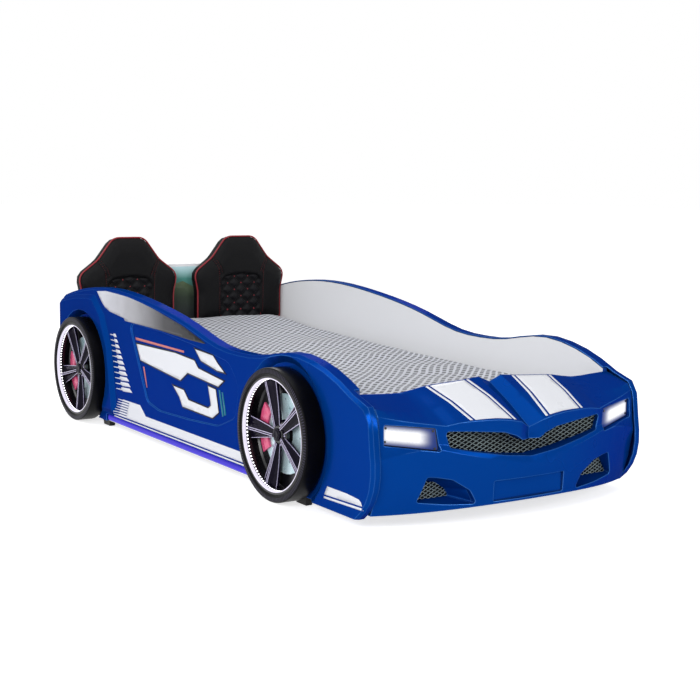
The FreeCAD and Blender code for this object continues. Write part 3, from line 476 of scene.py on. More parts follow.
def makeLens():
    tree, shader = newFinish("litLens", tone(30, 38, 60), 0.2, specular=0.1)
    place = objectPlace(tree)
    side = calc(tree, "ABSOLUTE", axis(tree, place, "X"))
    middle = calc(tree, "MULTIPLY_ADD", side, lens["slope"], lens["middle"])
    tall = calc(tree, "ABSOLUTE", calc(tree, "SUBTRACT", axis(tree, place, "Z"), middle))
    along = ramp(tree, side, 0.0, 1.0, *lens["inner"], "SMOOTHSTEP")
    across = ramp(tree, tall, 1.0, lens["rimLight"], *lens["rims"], "SMOOTHSTEP")
    tip = ramp(tree, side, 1.0, lens["tipLight"], *lens["tip"], "SMOOTHSTEP")
    mottle = ramp(tree, marksOf(tree, 160.0, 20.0)["Height"], 0.9, 1.1)
    even = calc(tree, "MULTIPLY", calc(tree, "MULTIPLY", along, across), mottle)
    level = calc(tree, "POWER", calc(tree, "MULTIPLY", even, tip), lens["contrast"])
    feed(shader, "Emission Color", mixTones(tree, level, lens["dim"], (1, 1, 1, 1)))
    shader.inputs["Emission Strength"].default_value = lens["strength"]


fabric = {
    # sizes in metres, the turn in degrees, and the parts of a row and a dash over which its dark thread ends; edge
    # gives the distances from the middle over which a painted shade darkens the long sides
    "row": 0.0205, "dash": 0.043, "turn": 45.0, "wide": (0.24, 0.36), "long": (0.26, 0.40), "slant": -0.1,
    "light": tone(209, 212, 222), "dark": tone(52, 56, 68), "threads": 700.0, "edge": (0.37, 0.43),
}


def makeDashCloth():
    # woven cover: slanting dashes in diagonal rows, every other row set back by half a step
    tree, shader = newFinish("dashCloth", fabric["light"], 0.85, specular=0.2)
    shader.inputs["Sheen Weight"].default_value = 0.2
    place = objectPlace(tree)
    moved = swayed(tree, place, 4.0, 1.0, 0.035)
    x = axis(tree, moved, "X")
    back = calc(tree, "ADD", axis(tree, moved, "Y"), axis(tree, moved, "Z"))
    cos, sin = polar(1, math.radians(fabric["turn"]))
    across = calc(tree, "SUBTRACT", calc(tree, "MULTIPLY", x, sin / fabric["row"]),
                  calc(tree, "MULTIPLY", back, cos / fabric["row"]))
    along = calc(tree, "ADD", calc(tree, "MULTIPLY", x, cos / fabric["dash"]),
                 calc(tree, "MULTIPLY", back, sin / fabric["dash"]))
    odd = calc(tree, "MULTIPLY", calc(tree, "MODULO", calc(tree, "FLOOR", across), 2.0), 0.5)
    rowPart = calc(tree, "SUBTRACT", calc(tree, "FRACT", across), 0.5)
    slanted = calc(tree, "ADD", calc(tree, "ADD", along, odd), calc(tree, "MULTIPLY", rowPart, fabric["slant"]))
    dashPart = calc(tree, "SUBTRACT", calc(tree, "FRACT", slanted), 0.5)
    wide = ramp(tree, calc(tree, "ABSOLUTE", rowPart), 1.0, 0.0, *fabric["wide"])
    long = ramp(tree, calc(tree, "ABSOLUTE", dashPart), 1.0, 0.05, *fabric["long"])
    threads = put(tree, "Group", {"Vector": place, "Threads": fabric["threads"]}, node_tree=weave).outputs
    marks = marksOf(tree, 60.0, 4.0)
    # painted shade: the cover darkens towards its long edges, where they round down
    rim = ramp(tree, calc(tree, "ABSOLUTE", axis(tree, place, "X")), 0.0, 0.6, *fabric["edge"])
    feed(shader, "Base Color", mixTones(tree, calc(tree, "MULTIPLY", wide, long), fabric["light"], fabric["dark"]))
    # painted shade between the threads, from the weave's tone
    blendIn(shader, ramp(tree, threads["Tone"], 0.35, 0.0, 0.4, 1.0), tone(126, 128, 136))
    blendIn(shader, ramp(tree, marks["Tone"], 0.0, 0.3, 0.35, 0.7), tone(160, 160, 166))
    blendIn(shader, rim, tone(70, 72, 80))
    relief(shader, calc(tree, "MULTIPLY_ADD", marks["Height"], 0.6, threads["Height"]), 0.5, 0.0006)


def makeSeatLeather(name, colour, roughness, scale):
    tree, shader = newFinish(name, colour, roughness, specular=0.1)
    hide = put(tree, "Group", {"Vector": objectPlace(tree), "Scale": scale}, node_tree=leather).outputs
    # painted shade and highlight: the wrinkle tone darkens the leather where it sinks and lightens it where it rises
    feed(shader, "Base Color", mixTones(tree, hide["Tone"], scaled(colour, 0.7), scaled(colour, 1.5)))
    feed(shader, "Roughness", ramp(tree, hide["Tone"], roughness - 0.08, roughness + 0.14, 0.3, 0.7))
    relief(shader, hide["Height"], 0.45, 0.0005)


shadedFilms = {
    # printed films whose tone runs along one axis, from one place to the other in metres
    "filmSilver": {"axis": "Y", "reach": (0.70, -0.06),
                   "tones": [(210, 211, 220), (172, 172, 178), (74, 74, 78), (20, 20, 23)]},
    "headboardFilm": {"axis": "Z", "reach": (0.40, 0.565),
                      "tones": [(52, 56, 62), (76, 84, 76), (84, 150, 140), (196, 226, 234)]},
    "headboardHills": {"axis": "Z", "reach": (0.36, 0.51), "tones": [(50, 54, 58), (58, 68, 58), (94, 112, 84)]},
}


def makeShaded(name, tones, reach, axisName):
    tree, shader = newFinish(name, tones[0], 0.3, specular=0.1)
    part = ramp(tree, axis(tree, objectPlace(tree), axisName), 0.0, 1.0, *reach)
    colours = put(tree, "ValToRGB", {0: part})
    strip = colours.color_ramp
    strip.elements[0].color, strip.elements[1].color = tones[0], tones[-1]
    for i, colour in enumerate(tones[1:-1], start=1):
        strip.elements.new(i / (len(tones) - 1)).color = colour
    marks = marksOf(tree, 900.0, 12.0)
    feed(shader, "Base Color", mixTones(tree, ramp(tree, marks["Tone"], 0.0, 0.08, 0.4, 0.6), colours.outputs[0],
                                        (0, 0, 0, 1)))
    relief(shader, marks["Height"], 0.1, 0.0001)


underglow = (0.030, 0.052)  # heights between which the strip darkens upwards


def makeFinishes():
    for make in (makePaint, makeLaminate, makeWood, makeDisc, makeLens, makeDashCloth, makeRubber):
        make()
    makeSeatLeather("seatLeather", tone(13, 13, 15), 0.42, 620.0)
    makeSeatLeather("quiltLeather", tone(19, 19, 22), 0.4, 700.0)
    speckled("zinc", tone(186, 190, 196), 0.34, scale=600.0, patch=40.0, shade=0.7, metallic=0.9)
    speckled("blackPlastic", tone(22, 22, 24), 0.46, scale=800.0, patch=18.0, depth=0.0003, specular=0.2)
    speckled("lampBlack", tone(14, 15, 18), 0.3, scale=300.0, patch=30.0)
    speckled("violetMetal", tone(16, 11, 30), 0.22, scale=300.0, patch=16.0, shade=0.5, spread=0.08, specular=0.07)
    # silver of the hub bolts, and the painted highlight strips along the wheel blades' edges
    speckled("edgeSilver", tone(206, 198, 232), 0.24, patch=30.0, shade=0.6, metallic=0.3)
    speckled("barrelBlack", tone(14, 13, 19), 0.28, scale=300.0, patch=12.0, shade=0.5)
    speckled("caliperRed", tone(240, 84, 134), 0.3, scale=260.0, patch=30.0, shade=0.6, coat=0.4)
    speckled("meshGrey", tone(164, 180, 178), 0.4, scale=500.0, patch=24.0, shade=0.5, metallic=0.2)
    # black of the boards behind the nets, a painted shade for the hollow behind them
    speckled("netBlack", tone(6, 7, 9), 0.7, patch=20.0, specular=0.05)
    speckled("aluminium", tone(196, 198, 204), 0.3, scale=900.0, patch=20.0, metallic=0.9)
    speckled("pipingRed", tone(142, 18, 34), 0.5, scale=900.0, patch=30.0, depth=0.0004)
    speckled("threadRed", tone(128, 20, 34), 0.6, scale=1500.0, patch=60.0)
    for name, colour, patch, shade, specular in (
            ("filmWhite", (228, 230, 236), 8.0, 0.96, 0.3), ("filmBlack", (12, 13, 18), 8.0, 0.82, 0.1),
            ("filmTeal", (22, 128, 150), 20.0, 0.6, 0.1), ("filmCoral", (214, 128, 122), 20.0, 0.8, 0.1)):
        speckled(name, tone(*colour), 0.34, scale=900.0, patch=patch, depth=0.00003, shade=shade, specular=specular)
    for name, look in shadedFilms.items():
        makeShaded(name, [tone(*rgb) for rgb in look["tones"]], look["reach"], look["axis"])
    glowing("ringGlow", tone(243, 238, 254), 1.0, base=(0.1, 0.09, 0.16, 1))
    glowing("ledGlow", (0.96, 0.94, 1.0, 1), 3.0)
    tree, shader = glowing("violetGlow", tone(74, 52, 240), 0.95, base=(0.01, 0.01, 0.06, 1))
    shader.inputs["Specular IOR Level"].default_value = 0.1
    height = axis(tree, objectPlace(tree), "Z")
    blendIn(shader, ramp(tree, height, 0.0, 0.75, *underglow), tone(16, 12, 150), "Emission Color")
    print("finishes made:", len(finishes))


# Geometry Nodes for what repeats

def geo(tree, kind, ins, **props):
    return put(tree, "GeometryNode" + kind, ins, **props).outputs[0]


def closeTree(tree, ins, made, smooth=False):
    # real geometry with its material
    made = geo(tree, "RealizeInstances", {"Geometry": made})
    if smooth:
        made = geo(tree, "SetShadeSmooth", {0: made})
    done = geo(tree, "SetMaterial", {"Geometry": made, "Material": ins["Material"]})
    return closeGroup(tree, "Geometry", Geometry=done)


def makeBeadTree():
    # a small rounded bead on every point, its flat side on the surface that the point faces
    tree, ins = openGroup("beads", [("Geometry", "Geometry", None), ("Length", "Float", 0.004),
                                    ("Width", "Float", 0.004), ("Height", "Float", 0.002),
                                    ("Material", "Material", None)], "Geometry")
    ball = geo(tree, "MeshUVSphere", {"Segments": 8, "Rings": 5, "Radius": 0.5})
    size = put(tree, "CombineXYZ", {0: ins["Length"], 1: ins["Width"], 2: ins["Height"]}).outputs[0]
    bead = geo(tree, "Transform", {"Geometry": ball, "Scale": size})
    facing, along = (geo(tree, "InputNamedAttribute", {"Name": name}, data_type="FLOAT_VECTOR")
                     for name in ("facing", "along"))
    lying = put(tree, "FunctionNodeAlignRotationToVector", {"Vector": along}, axis="X").outputs[0]
    turned = put(tree, "FunctionNodeAlignRotationToVector", {"Rotation": lying, "Vector": facing}, axis="Z",
                 pivot_axis="X").outputs[0]
    spread = geo(tree, "InstanceOnPoints", {"Points": ins["Geometry"], "Instance": bead, "Rotation": turned})
    return closeTree(tree, ins, spread, smooth=True)


def makeStrandTree():
    # a flat bar along every edge of a wire net
    tree, ins = openGroup("strands", [("Geometry", "Geometry", None), ("Width", "Float", 0.002),
                                      ("Depth", "Float", 0.0016), ("Material", "Material", None)], "Geometry")
    lines = geo(tree, "MeshToCurve", {"Mesh": ins["Geometry"]})
    section = geo(tree, "CurvePrimitiveQuadrilateral", {"Width": ins["Width"], "Height": ins["Depth"]})
    bars = geo(tree, "CurveToMesh", {"Curve": lines, "Profile Curve": section, "Fill Caps": True})
    return closeTree(tree, ins, bars)


beadTree, strandTree = makeBeadTree(), makeStrandTree()


def grow(name, points, tree, values, edges=(), **vectors):
    # runs one of the trees on loose points or edges and keeps the plain mesh
    mesh = bpy.data.meshes.new(name)
    mesh.from_pydata([tuple(p) for p in points], list(edges), [])
    for label, each in vectors.items():
        mesh.attributes.new(label, "FLOAT_VECTOR", "POINT").data.foreach_set("vector", [c for v in each for c in v])
    piece = newObject(name, mesh)
    modifier = piece.modifiers.new("grow", "NODES")
    modifier.node_group = tree
    names = {item.name: item.identifier for item in tree.interface.items_tree if item.in_out == "INPUT"}
    for label, value in values.items():
        modifier[names[label]] = value
    return settle(piece)


def beads(name, points, facing, along, size, finish):
    values = dict(zip(("Length", "Width", "Height"), size), Material=finishes[finish])
    return grow(name, points, beadTree, values, facing=facing, along=along)


# carried-over CAD pieces

carried = {
    "whiteLaminate": ["headboard"],
    "edgedLaminate": ["side_board_right", "side_board_left", "front_board"],
    "slatWood": ["bed_slats", "ledger_rail_right", "ledger_rail_left"],
    "zinc": ["corner_brackets", "bracket_screws"],
    "blackPlastic": ["board_feet", "wheel_spacers", "power_box", "power_inlet", "rocker_switch", "seat_board_right",
                     "seat_board_left"],
    "lampBlack": ["headlamp_housing_right", "headlamp_housing_left", "headlamp_screws"],
    "litLens": ["headlamp_lens_right", "headlamp_lens_left"],
    "aluminium": ["underglow_channel_right", "underglow_channel_left"],
    "violetGlow": ["underglow_diffuser_right", "underglow_diffuser_left"],
}


def dressCarried():
    for finish, names in carried.items():
        for name in names:
            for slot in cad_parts[name].material_slots:
                slot.link = "OBJECT"
                slot.material = finishes[finish]
    print("carried pieces dressed:", sum(len(v) for v in carried.values()))


# blue shells

shells = {"sharpen": 24, "names": ["flank_shell_right", "flank_shell_left", "front_mask"]}
plateFloor = {"y": -1.0855, "play": 0.0022, "halfWidth": 0.1355, "z": (0.0545, 0.1255), "back": 0.006}
surfaces = {}


def makeShells():
    for name in shells["names"]:
        points, faces = mergedNode(name)
        if name == "front_mask":
            # the number-plate recess reads as shallow in the photo's light, so its floor is drawn further back
            (low, high), wide = plateFloor["z"], plateFloor["halfWidth"]
            for p in points:
                if abs(p.x) < wide and low < p.z < high and abs(p.y - plateFloor["y"]) < plateFloor["play"]:
                    p.y += plateFloor["back"]
        surfaces[name] = BVHTree.FromPolygons(points, faces)
        piece = meshPiece(name.replace("_", " ").title().replace(" ", ""), points, faces, "glossBlue",
                          sharpen=shells["sharpen"])
        piece.modifiers.new("weighted", "WEIGHTED_NORMAL").keep_sharp = True
        finishPiece(settle(piece), "blue_gloss", name)
    print("shells made:", len(shells["names"]))


# films stuck on the shells

def between(a, b, part):
    return tuple(c + (d - c) * part for c, d in zip(a, b))


def inside(point, loop):
    x, y = point
    hit = False
    for (ax, ay), (bx, by) in zip(loop, loop[1:] + loop[:1]):
        if (ay > y) != (by > y) and x < (bx - ax) * (y - ay) / (by - ay) + ax:
            hit = not hit
    return hit


def filled(loop, step):
    # triangles inside an outline, small enough to follow a curved surface
    rim = []
    for a, b in zip(loop, loop[1:] + loop[:1]):
        count = max(1, math.ceil(math.dist(a, b) / step))
        rim += [between(a, b, k / count) for k in range(count)]
    xs, ys = zip(*loop)
    core = []
    y = min(ys) + step / 2
    while y < max(ys):
        x = min(xs) + step / 2
        while x < max(xs):
            if min(math.dist((x, y), p) for p in rim) > step * 0.45 and inside((x, y), loop):
                core.append((x, y))
            x += step
        y += step
    made = geometry.delaunay_2d_cdt([Vector(p) for p in rim + core], [], [list(range(len(rim)))], 1, 1e-6)
    return [tuple(v) for v in made[0]], [tuple(f) for f in made[2]]


film = {"lift": 0.0005, "thickness": 0.0003}
bothSides = ("right", "left")


def stick(name, loops, onto, look, finish, step=11.0, sides=bothSides, lift=0.0):
    # film pressed onto a surface; look gives the ray for an outline point, on the right-hand side
    for side in sides:
        flip = Vector((-1 if side == "left" else 1, 1, 1))
        surface = surfaces[onto + ("_" + side if onto == "flank_shell" else "")]
        parts = []
        for loop in loops:
            flat, triangles = filled(loop, step)
            lifted = []
            for a, b in flat:
                start, heading = (v * flip for v in look(a, b))
                hit = surface.ray_cast(start, heading)[0]
                if hit is None:
                    hit = surface.find_nearest(start)[0]
                lifted.append(hit - heading * (film["lift"] + lift))
            parts.append((lifted, triangles))
        piece = welded(meshPiece(name + side.title(), *joined(*parts), finish), 2e-6)
        piece.data.update()
        towards = look(*loops[0][0])[1] * flip
        if sum((f.normal.dot(towards) * f.area for f in piece.data.polygons), 0.0) > 0:
            piece.data.flip_normals()
        piece.modifiers.new("thickness", "SOLIDIFY").thickness = film["thickness"]
        finishPiece(settle(piece), "white_board")


def fromSide(station, z):
    return at(-640, station, z), Vector((1, 0, 0))


def fromAbove(x, station):
    return at(x, station, 640), Vector((0, 0, -1))


def fromFront(x, z):
    return at(x, 1500, z), Vector((0, 1, 0))


hood = {
    # outer and inner edge of the stripes and their station, at the hood's rear and front
    "rear": (236, 81, -320), "front": (206, 54, -505), "line": 9, "gap": 7, "brow": (-504, 1515), "fold": -410,
}


def browAt(x):
    # station where the hood turns down over the grille
    base, radius = hood["brow"]
    return base + radius - math.sqrt(radius ** 2 - x * x)


def makeHoodStripes():
    rear, fold, front = hood["rear"][2], hood["fold"], hood["front"][2]
    line, wide = hood["line"], hood["line"] + hood["gap"]

    def edge(offset, inner, station):
        start, end = hood["rear"][inner], hood["front"][inner]
        return start + (end - start) * (station - rear) / (front - rear) + (offset if inner else -offset)

    loops = []
    for sign in (1, -1):
        for first, second in (((0, 0), (line, 0)), ((wide, 0), (wide, 1)), ((line, 1), (0, 1))):
            ends = [(rear - 2, rear - 2), (fold, fold), (browAt(edge(*first, front)), browAt(edge(*second, front)))]
            for (startA, startB), (endA, endB) in zip(ends, ends[1:]):
                loops.append([(sign * edge(*first, startA), startA), (sign * edge(*second, startB), startB),
                              (sign * edge(*second, endB), endB), (sign * edge(*first, endA), endA)])
    stick("hoodStripes", loops, "front_mask", fromAbove, "filmWhite", 12.0, ("right",))


doorArt = {
    # invented racing band: a swept bar over a bracket, black outlines round them, thin accents beside them
    "bar": [(1002, 344), (970, 290), (664, 262), (612, 294), (404, 278), (370, 300), (538, 318), (566, 340),
            (700, 348)],
    "bracket": [(716, 236), (672, 206), (648, 176), (440, 172), (400, 196), (420, 266), (470, 270), (450, 210),
                (470, 198), (606, 204), (640, 232)],
    "dart": [(560, 378), (520, 346), (410, 328), (366, 328), (410, 352), (440, 372)],
    "outline": 4.5,
    "teal": [[(402, 268), (392, 268), (366, 190), (378, 186)], [(382, 264), (373, 264), (352, 196), (362, 191)]],
    "coral": [[(1012, 366), (1008, 357), (640, 356), (640, 363)], [(952, 270), (924, 200), (917, 200), (941, 270)]],
}


flankFilm = {
    # stations and heights of the stickers, and of the comb's tip, top and end with their change from tooth to tooth
    "window": [(1334, 502), (1312, 482), (1292, 466), (1262, 449), (1219, 437), (1150, 430), (1098, 425), (1089, 416),
               (952, 415), (821, 413), (684, 408), (600, 405), (500, 404), (478, 406), (520, 417), (600, 436),
               (648, 447), (758, 465), (859, 481), (965, 494), (1060, 503), (1159, 507), (1253, 509)],
    "firstVent": [(1217, 356), (1190, 356), (1186, 361), (1172, 360), (1160, 350), (1180, 347), (1190, 352),
                  (1217, 353)],
    "lastVent": [(1167, 163), (1125, 166), (1120, 173), (1052, 177), (1030, 165), (1104, 159), (1116, 162),
                 (1167, 160)],
    "vents": 11, "combs": 7, "comb": ((1150, 5.5), (127, -9.6), (1054, 4.4)),
    "sill": [(1054, 130), (966, 131), (921, 98), (226, 98), (226, 67), (1082, 66)],
    "sillLine": [(1185, 56), (1185, 60), (226, 62), (226, 57)],
    "noseBand": [(-220, 66), (-234, 92), (-330, 92), (-388, 88), (-398, 82), (-404, 72)],
    "noseLine": [(-217, 55), (-219, 61), (-403, 67), (-405, 60)],
}


def makeFlankFilms():
    slats, comb = [], []
    for i in range(flankFilm["vents"]):
        part = i / (flankFilm["vents"] - 1)
        slats.append([between(a, b, part) for a, b in zip(flankFilm["firstVent"], flankFilm["lastVent"])])
    for i in range(flankFilm["combs"]):
        tip, top, end = (start + change * i for start, change in flankFilm["comb"])
        comb.append([(tip, top - 1), (tip - 38, top), (tip - 40, top + 2.4), (end, top + 3), (end + 1, top - 3.4),
                     (tip - 32, top - 4), (tip - 36, top - 3.2), (tip, top - 3.6)])
    white = [doorArt["bar"], doorArt["bracket"], doorArt["dart"]]
    outlines = [spreadOut(loop, doorArt["outline"]) for loop in white]
    for name, loops, finish, step, lift in (
            ("rearWindow", [flankFilm["window"]], "filmSilver", 11.0, 0.0),
            ("ventMarks", slats, "filmWhite", 20.0, 0.0),
            ("sillBand", [flankFilm["sill"], flankFilm["sillLine"]] + comb, "filmWhite", 14.0, 0.0),
            ("noseBand", [flankFilm["noseBand"], flankFilm["noseLine"]], "filmWhite", 11.0, 0.0),
            ("doorOutline", outlines, "filmBlack", 10.0, 0.0),
            ("doorBand", white, "filmWhite", 10.0, 0.0009),
            ("doorTeal", doorArt["teal"], "filmTeal", 20.0, 0.0),
            ("doorCoral", doorArt["coral"], "filmCoral", 20.0, 0.0)):
        stick(name, loops, "flank_shell", fromSide, finish, step, lift=lift)
    print("films stuck on")


headboardArt = {
    # invented sky and hills, as X and height
    "sky": [(-445, 330), (445, 330), (445, 446), (330, 560), (-330, 560), (-445, 446)],
    "hills": [(-445, 330), (445, 330), (445, 420), (300, 470), (120, 500), (60, 476), (10, 500), (-60, 482),
              (-180, 512), (-320, 466), (-445, 410)],
}


def makeHeadboardFilm():
    surfaces["headboard"] = BVHTree.FromPolygons(*mergedNode("headboard"))
    for name, loop, lift in (("headboardFilm", "sky", 0.0), ("headboardHills", "hills", 0.0004)):
        stick(name, [headboardArt[loop]], "headboard", fromFront, name, 40.0, ("right",), lift)
    print("headboard printed")


# wheels

wheel = {
    # bead sizes are length, width and height
    "spokes": 5, "turn": {"front": 18, "rear": 32}, "edge": 0.0007,
    "bladeRadii": (24, 42, 60, 80, 100, 120, 140, 157.5, 160, 166),
    "leds": {"count": 96, "radius": 0.1624, "height": 0.0468, "size": (0.0055, 0.005, 0.002)},
    "bolts": {"count": 5, "radius": 0.0305, "height": 0.0338, "size": (0.006, 0.006, 0.004)},
    "holes": {"count": 20, "radii": (0.082, 0.104), "size": 0.0036},
    "caliper": {"turn": (36, 106), "radii": (0.089, 0.131), "heights": (0.0136, 0.0206), "studRadius": 0.11,
                "stud": 0.006, "studTop": 0.0214},
    # closed (radius, height) profiles in millimetres
    "tyre": [(172.4, 1), (178, 0.2), (190, 0.4), (194, 1.6), (195.6, 3.6), (196, 7), (196, 59), (195.6, 60.9),
             (194.6, 62.2), (193, 63), (192.4, 62.7), (191.8, 63.3), (187, 63.9), (181.4, 64), (180.2, 63.9),
             (179.6, 63.3), (178.8, 63.8), (175.6, 63.4), (174, 62.4), (172.4, 60.8)],
    "barrel": [(62, 2), (172, 2), (172, 60.8), (170.8, 61.4), (166.6, 61.4), (166.1, 60.8), (166.1, 50), (164.8, 49.4),
               (163.6, 46), (164, 30), (165, 12), (161, 6.4), (150, 5), (62, 5)],
    "hub": [(0.4, 18), (36, 18), (37, 20), (37, 29), (34, 32.5), (27, 34), (26.4, 38), (24, 39.8), (0.4, 39.8)],
    "ring": [(162.4, 51), (165.9, 50.4), (165.9, 61), (165.2, 61.4), (163.8, 61.2), (162.8, 60.2)],
    "disc": [(42, 8), (60, 8), (118, 8), (118, 13), (60, 13), (57, 12.2), (42, 12.2)],
    "cap": [(0.3, 40), (18.8, 40), (19, 40.4), (19, 42.6), (17.6, 44), (13, 44.2), (12.4, 44.6), (12, 45.4),
            (9, 45.5), (7, 45), (0.3, 45)],
}
corners = {"FrontRight": (-1, 0), "FrontLeft": (1, 0), "RearRight": (-1, 1), "RearLeft": (1, 1)}


def wheelPlace(corner):
    sign, rear = corners[corner]
    turn = math.radians(wheel["turn"]["rear" if rear else "front"])
    centre = (sign * car["tyreInnerX"], car["frontAxleY"] + rear * car["wheelbase"], car["axleHeight"])
    return Matrix.Translation(centre) @ Matrix.Rotation(math.radians(90 * sign), 4, "Y") @ Matrix.Rotation(turn, 4, "Z")


def bladeShape():
    # flared blades with a raised ridge, and thin strips along their edges that carry a painted highlight
    blades, trims = [], []
    for k in range(wheel["spokes"]):
        cos, sin = polar(1, 2 * math.pi * k / wheel["spokes"])
        rings, lines = [], [[], [], [], []]
        for r in wheel["bladeRadii"]:
            part = (r - 24) / 143
            back, front = -13 - 17 * part, 13 + 27 * part
            sag = 2.2 * math.sin(math.pi * min(part, 1))
            crest = (42.4 + 7.4 * part if r < 159 else 43.4) - sag * 0.5
            section = [(back, 24), (back, 33 - sag), (back + 1.5, 34.6 - sag), (back * 0.35 + 0.5, 35.6 - sag),
                       (1.2, crest - 0.9), (3.2, crest), (7.2, crest), (9.4, crest - 1), (13 + 3 * part, 35.4 - sag),
                       (front - 2, 33.4 - sag), (front, 31.8 - sag), (front, 24)]
            strips = [(1.2, 3.3, crest + 0.15), (7.1, 9.2, crest + 0.15), (back + 0.1, back + 2.1, 34.8 - sag),
                      (front - 2.4, front - 0.2, 33.4 - sag)]
            rows = [section] + [[(low, top - 1.2), (low, top), (high, top), (high, top - 1.2)]
                                for low, high, top in strips]
            for i, (row, line) in enumerate(zip(rows, [rings] + lines)):
                if r < 160 or i not in (1, 2):  # the crest's two lines end short of the rim
                    line.append([(r * cos - t * sin, r * sin + t * cos, z) for t, z in row])
        blades.append(swept(rings))
        trims += [swept(line) for line in lines]
    return joined(*blades), joined(*trims)


def discShape():
    # turned disc with its holes drilled by a boolean
    disc = solidPiece("discBlank", lathe(wheel["disc"], 72))
    holes = wheel["holes"]
    drills = []
    for k in range(holes["count"]):
        centre = polar(holes["radii"][k % 2], 2 * math.pi * k / holes["count"])
        drills.append(block(polygon(centre, holes["size"], 10), 0.004, 0.017))
    drill = solidPiece("drills", joined(*drills))
    cut = disc.modifiers.new("drilled", "BOOLEAN")
    cut.object, cut.operation = drill, "DIFFERENCE"
    settle(disc)
    shape = [v.co.copy() for v in disc.data.vertices], [tuple(p.vertices) for p in disc.data.polygons]
    for spare in (disc, drill):
        bpy.data.objects.remove(spare)
    return shape


def caliperShape():
    grip = wheel["caliper"]
    (start, end), (inner, outer), (low, high) = grip["turn"], grip["radii"], grip["heights"]
    turns = [math.radians(start + (end - start) * k / 12) for k in range(13)]
    arch = [polar(outer, t) for t in turns] + [polar(inner, t) for t in reversed(turns)]
    studs = [block(polygon(polar(grip["studRadius"], turns[i]), grip["stud"], 6), high, grip["studTop"])
             for i in (2, 6, 10)]
    return joined(block(arch, low, high), *studs)


def makeWheels():
    blades, trims = bladeShape()
    shapes = [("tyre", lathe(wheel["tyre"], 128), "tyreRubber", "tyre_black", ["tyre"]),
              ("rimBarrel", joined(lathe(wheel["barrel"], 96), lathe(wheel["hub"], 48)), "barrelBlack",
               "dark_violet_gloss", ["rim"]),
              ("rimBlades", blades, "violetMetal", "dark_violet_gloss", []),
              # painted highlight: light strips along the blade edges
              ("rimEdgeHighlights", trims, "edgeSilver", "dark_violet_gloss", []),
              ("lightRing", lathe(wheel["ring"], 96), "ringGlow", "lit_white", ["light_ring"]),
              ("brakeDisc", discShape(), "turnedSteel", "disc_silver", ["brake_disc"]),
              ("caliper", caliperShape(), "caliperRed", "red_gloss", ["caliper"])]
    (cap, capFaces), caps = lathe(wheel["cap"], 48), []
    for corner in corners:
        place = wheelPlace(corner)
        centre, spin = place.translation, place.to_3x3()
        ending = corner.replace("Right", "_right").replace("Left", "_left").lower()
        for name, (verts, faces), finish, slot, nodes in shapes:
            piece = solidPiece(name + corner, ([place @ Vector(v) for v in verts], faces), finish)
            if name in ("brakeDisc", "tyre"):
                layer = piece.data.attributes.new("fromAxle", "FLOAT_VECTOR", "POINT")
                layer.data.foreach_set("vector", [c for v in piece.data.vertices
                                                  for c in (0, v.co.y - centre.y, v.co.z - centre.z)])
            if name in ("caliper", "rimBlades"):
                bevel = piece.modifiers.new("edges", "BEVEL")
                bevel.width, bevel.segments, bevel.limit_method = wheel["edge"], 2, "ANGLE"
                bevel.angle_limit = math.radians(40)
                settle(piece)
            piece.data.shade_smooth()
            piece.data.set_sharp_from_angle(angle=math.radians(34))
            finishPiece(piece, slot, *[node + "_" + ending for node in nodes])
        leds, bolts = wheel["leds"], wheel["bolts"]
        turns = [2 * math.pi * k / leds["count"] for k in range(leds["count"])]
        spots = [place @ Vector(polar(leds["radius"], t, leds["height"])) for t in turns]
        inward = [spin @ -Vector(polar(1, t, 0)) for t in turns]
        tangents = [spin @ Vector((-math.sin(t), math.cos(t), 0)) for t in turns]
        finishPiece(beads("leds" + corner, spots, inward, tangents, leds["size"], "ledGlow"), "lit_white")
        count = bolts["count"]
        spots = [place @ Vector(polar(bolts["radius"], 2 * math.pi * (k + 0.5) / count, bolts["height"]))
                 for k in range(count)]
        heads = beads("hubBolts" + corner, spots, [spin.col[2]] * count, [spin.col[0]] * count, bolts["size"],
                      "edgeSilver")
        finishPiece(heads, "zinc_steel")
        caps.append(([place @ Vector(v) for v in cap], capFaces))
    finishPiece(solidPiece("hubCaps", joined(*caps), "violetMetal"), "black_plastic", "hub_caps")
    print("wheels made:", len(corners))


# expanded metal behind the grille and fog openings

nets = {
    "grille": {"outline": [(-285, 268), (-200, 262), (-96, 252), (-52, 238), (-32, 225), (32, 225), (52, 238),
                           (96, 252), (200, 262), (285, 268), (270, 222), (199, 207), (91, 188), (0, 178), (-91, 188),
                           (-199, 207), (-270, 222)], "margin": 4, "station": -465.4, "pitch": 25, "rise": 12},
    "fog": {"outline": [(-328, 129), (-288, 122), (-256, 102), (-240, 78), (-358, 80)], "margin": 5,
            "station": -439.4, "pitch": 20, "rise": 10.5},
    "strand": {"width": 0.0016, "depth": 0.0016}, "backing": 1.2,
}


def spreadOut(loop, margin):
    # outline moved outwards, corner by corner
    area = sum(loop[i - 1][0] * loop[i][1] - loop[i][0] * loop[i - 1][1] for i in range(len(loop)))
    side = 1 if area > 0 else -1
    moved = []
    for i, (a, b) in enumerate(loop):
        before = (Vector((a, b)) - Vector(loop[i - 1])).normalized()
        after = (Vector(loop[(i + 1) % len(loop)]) - Vector((a, b))).normalized()
        normal = Vector((before.y + after.y, -before.x - after.x)) * side
        normal *= 2 * margin / normal.length_squared
        moved.append((a + normal.x, b + normal.y))
    return moved


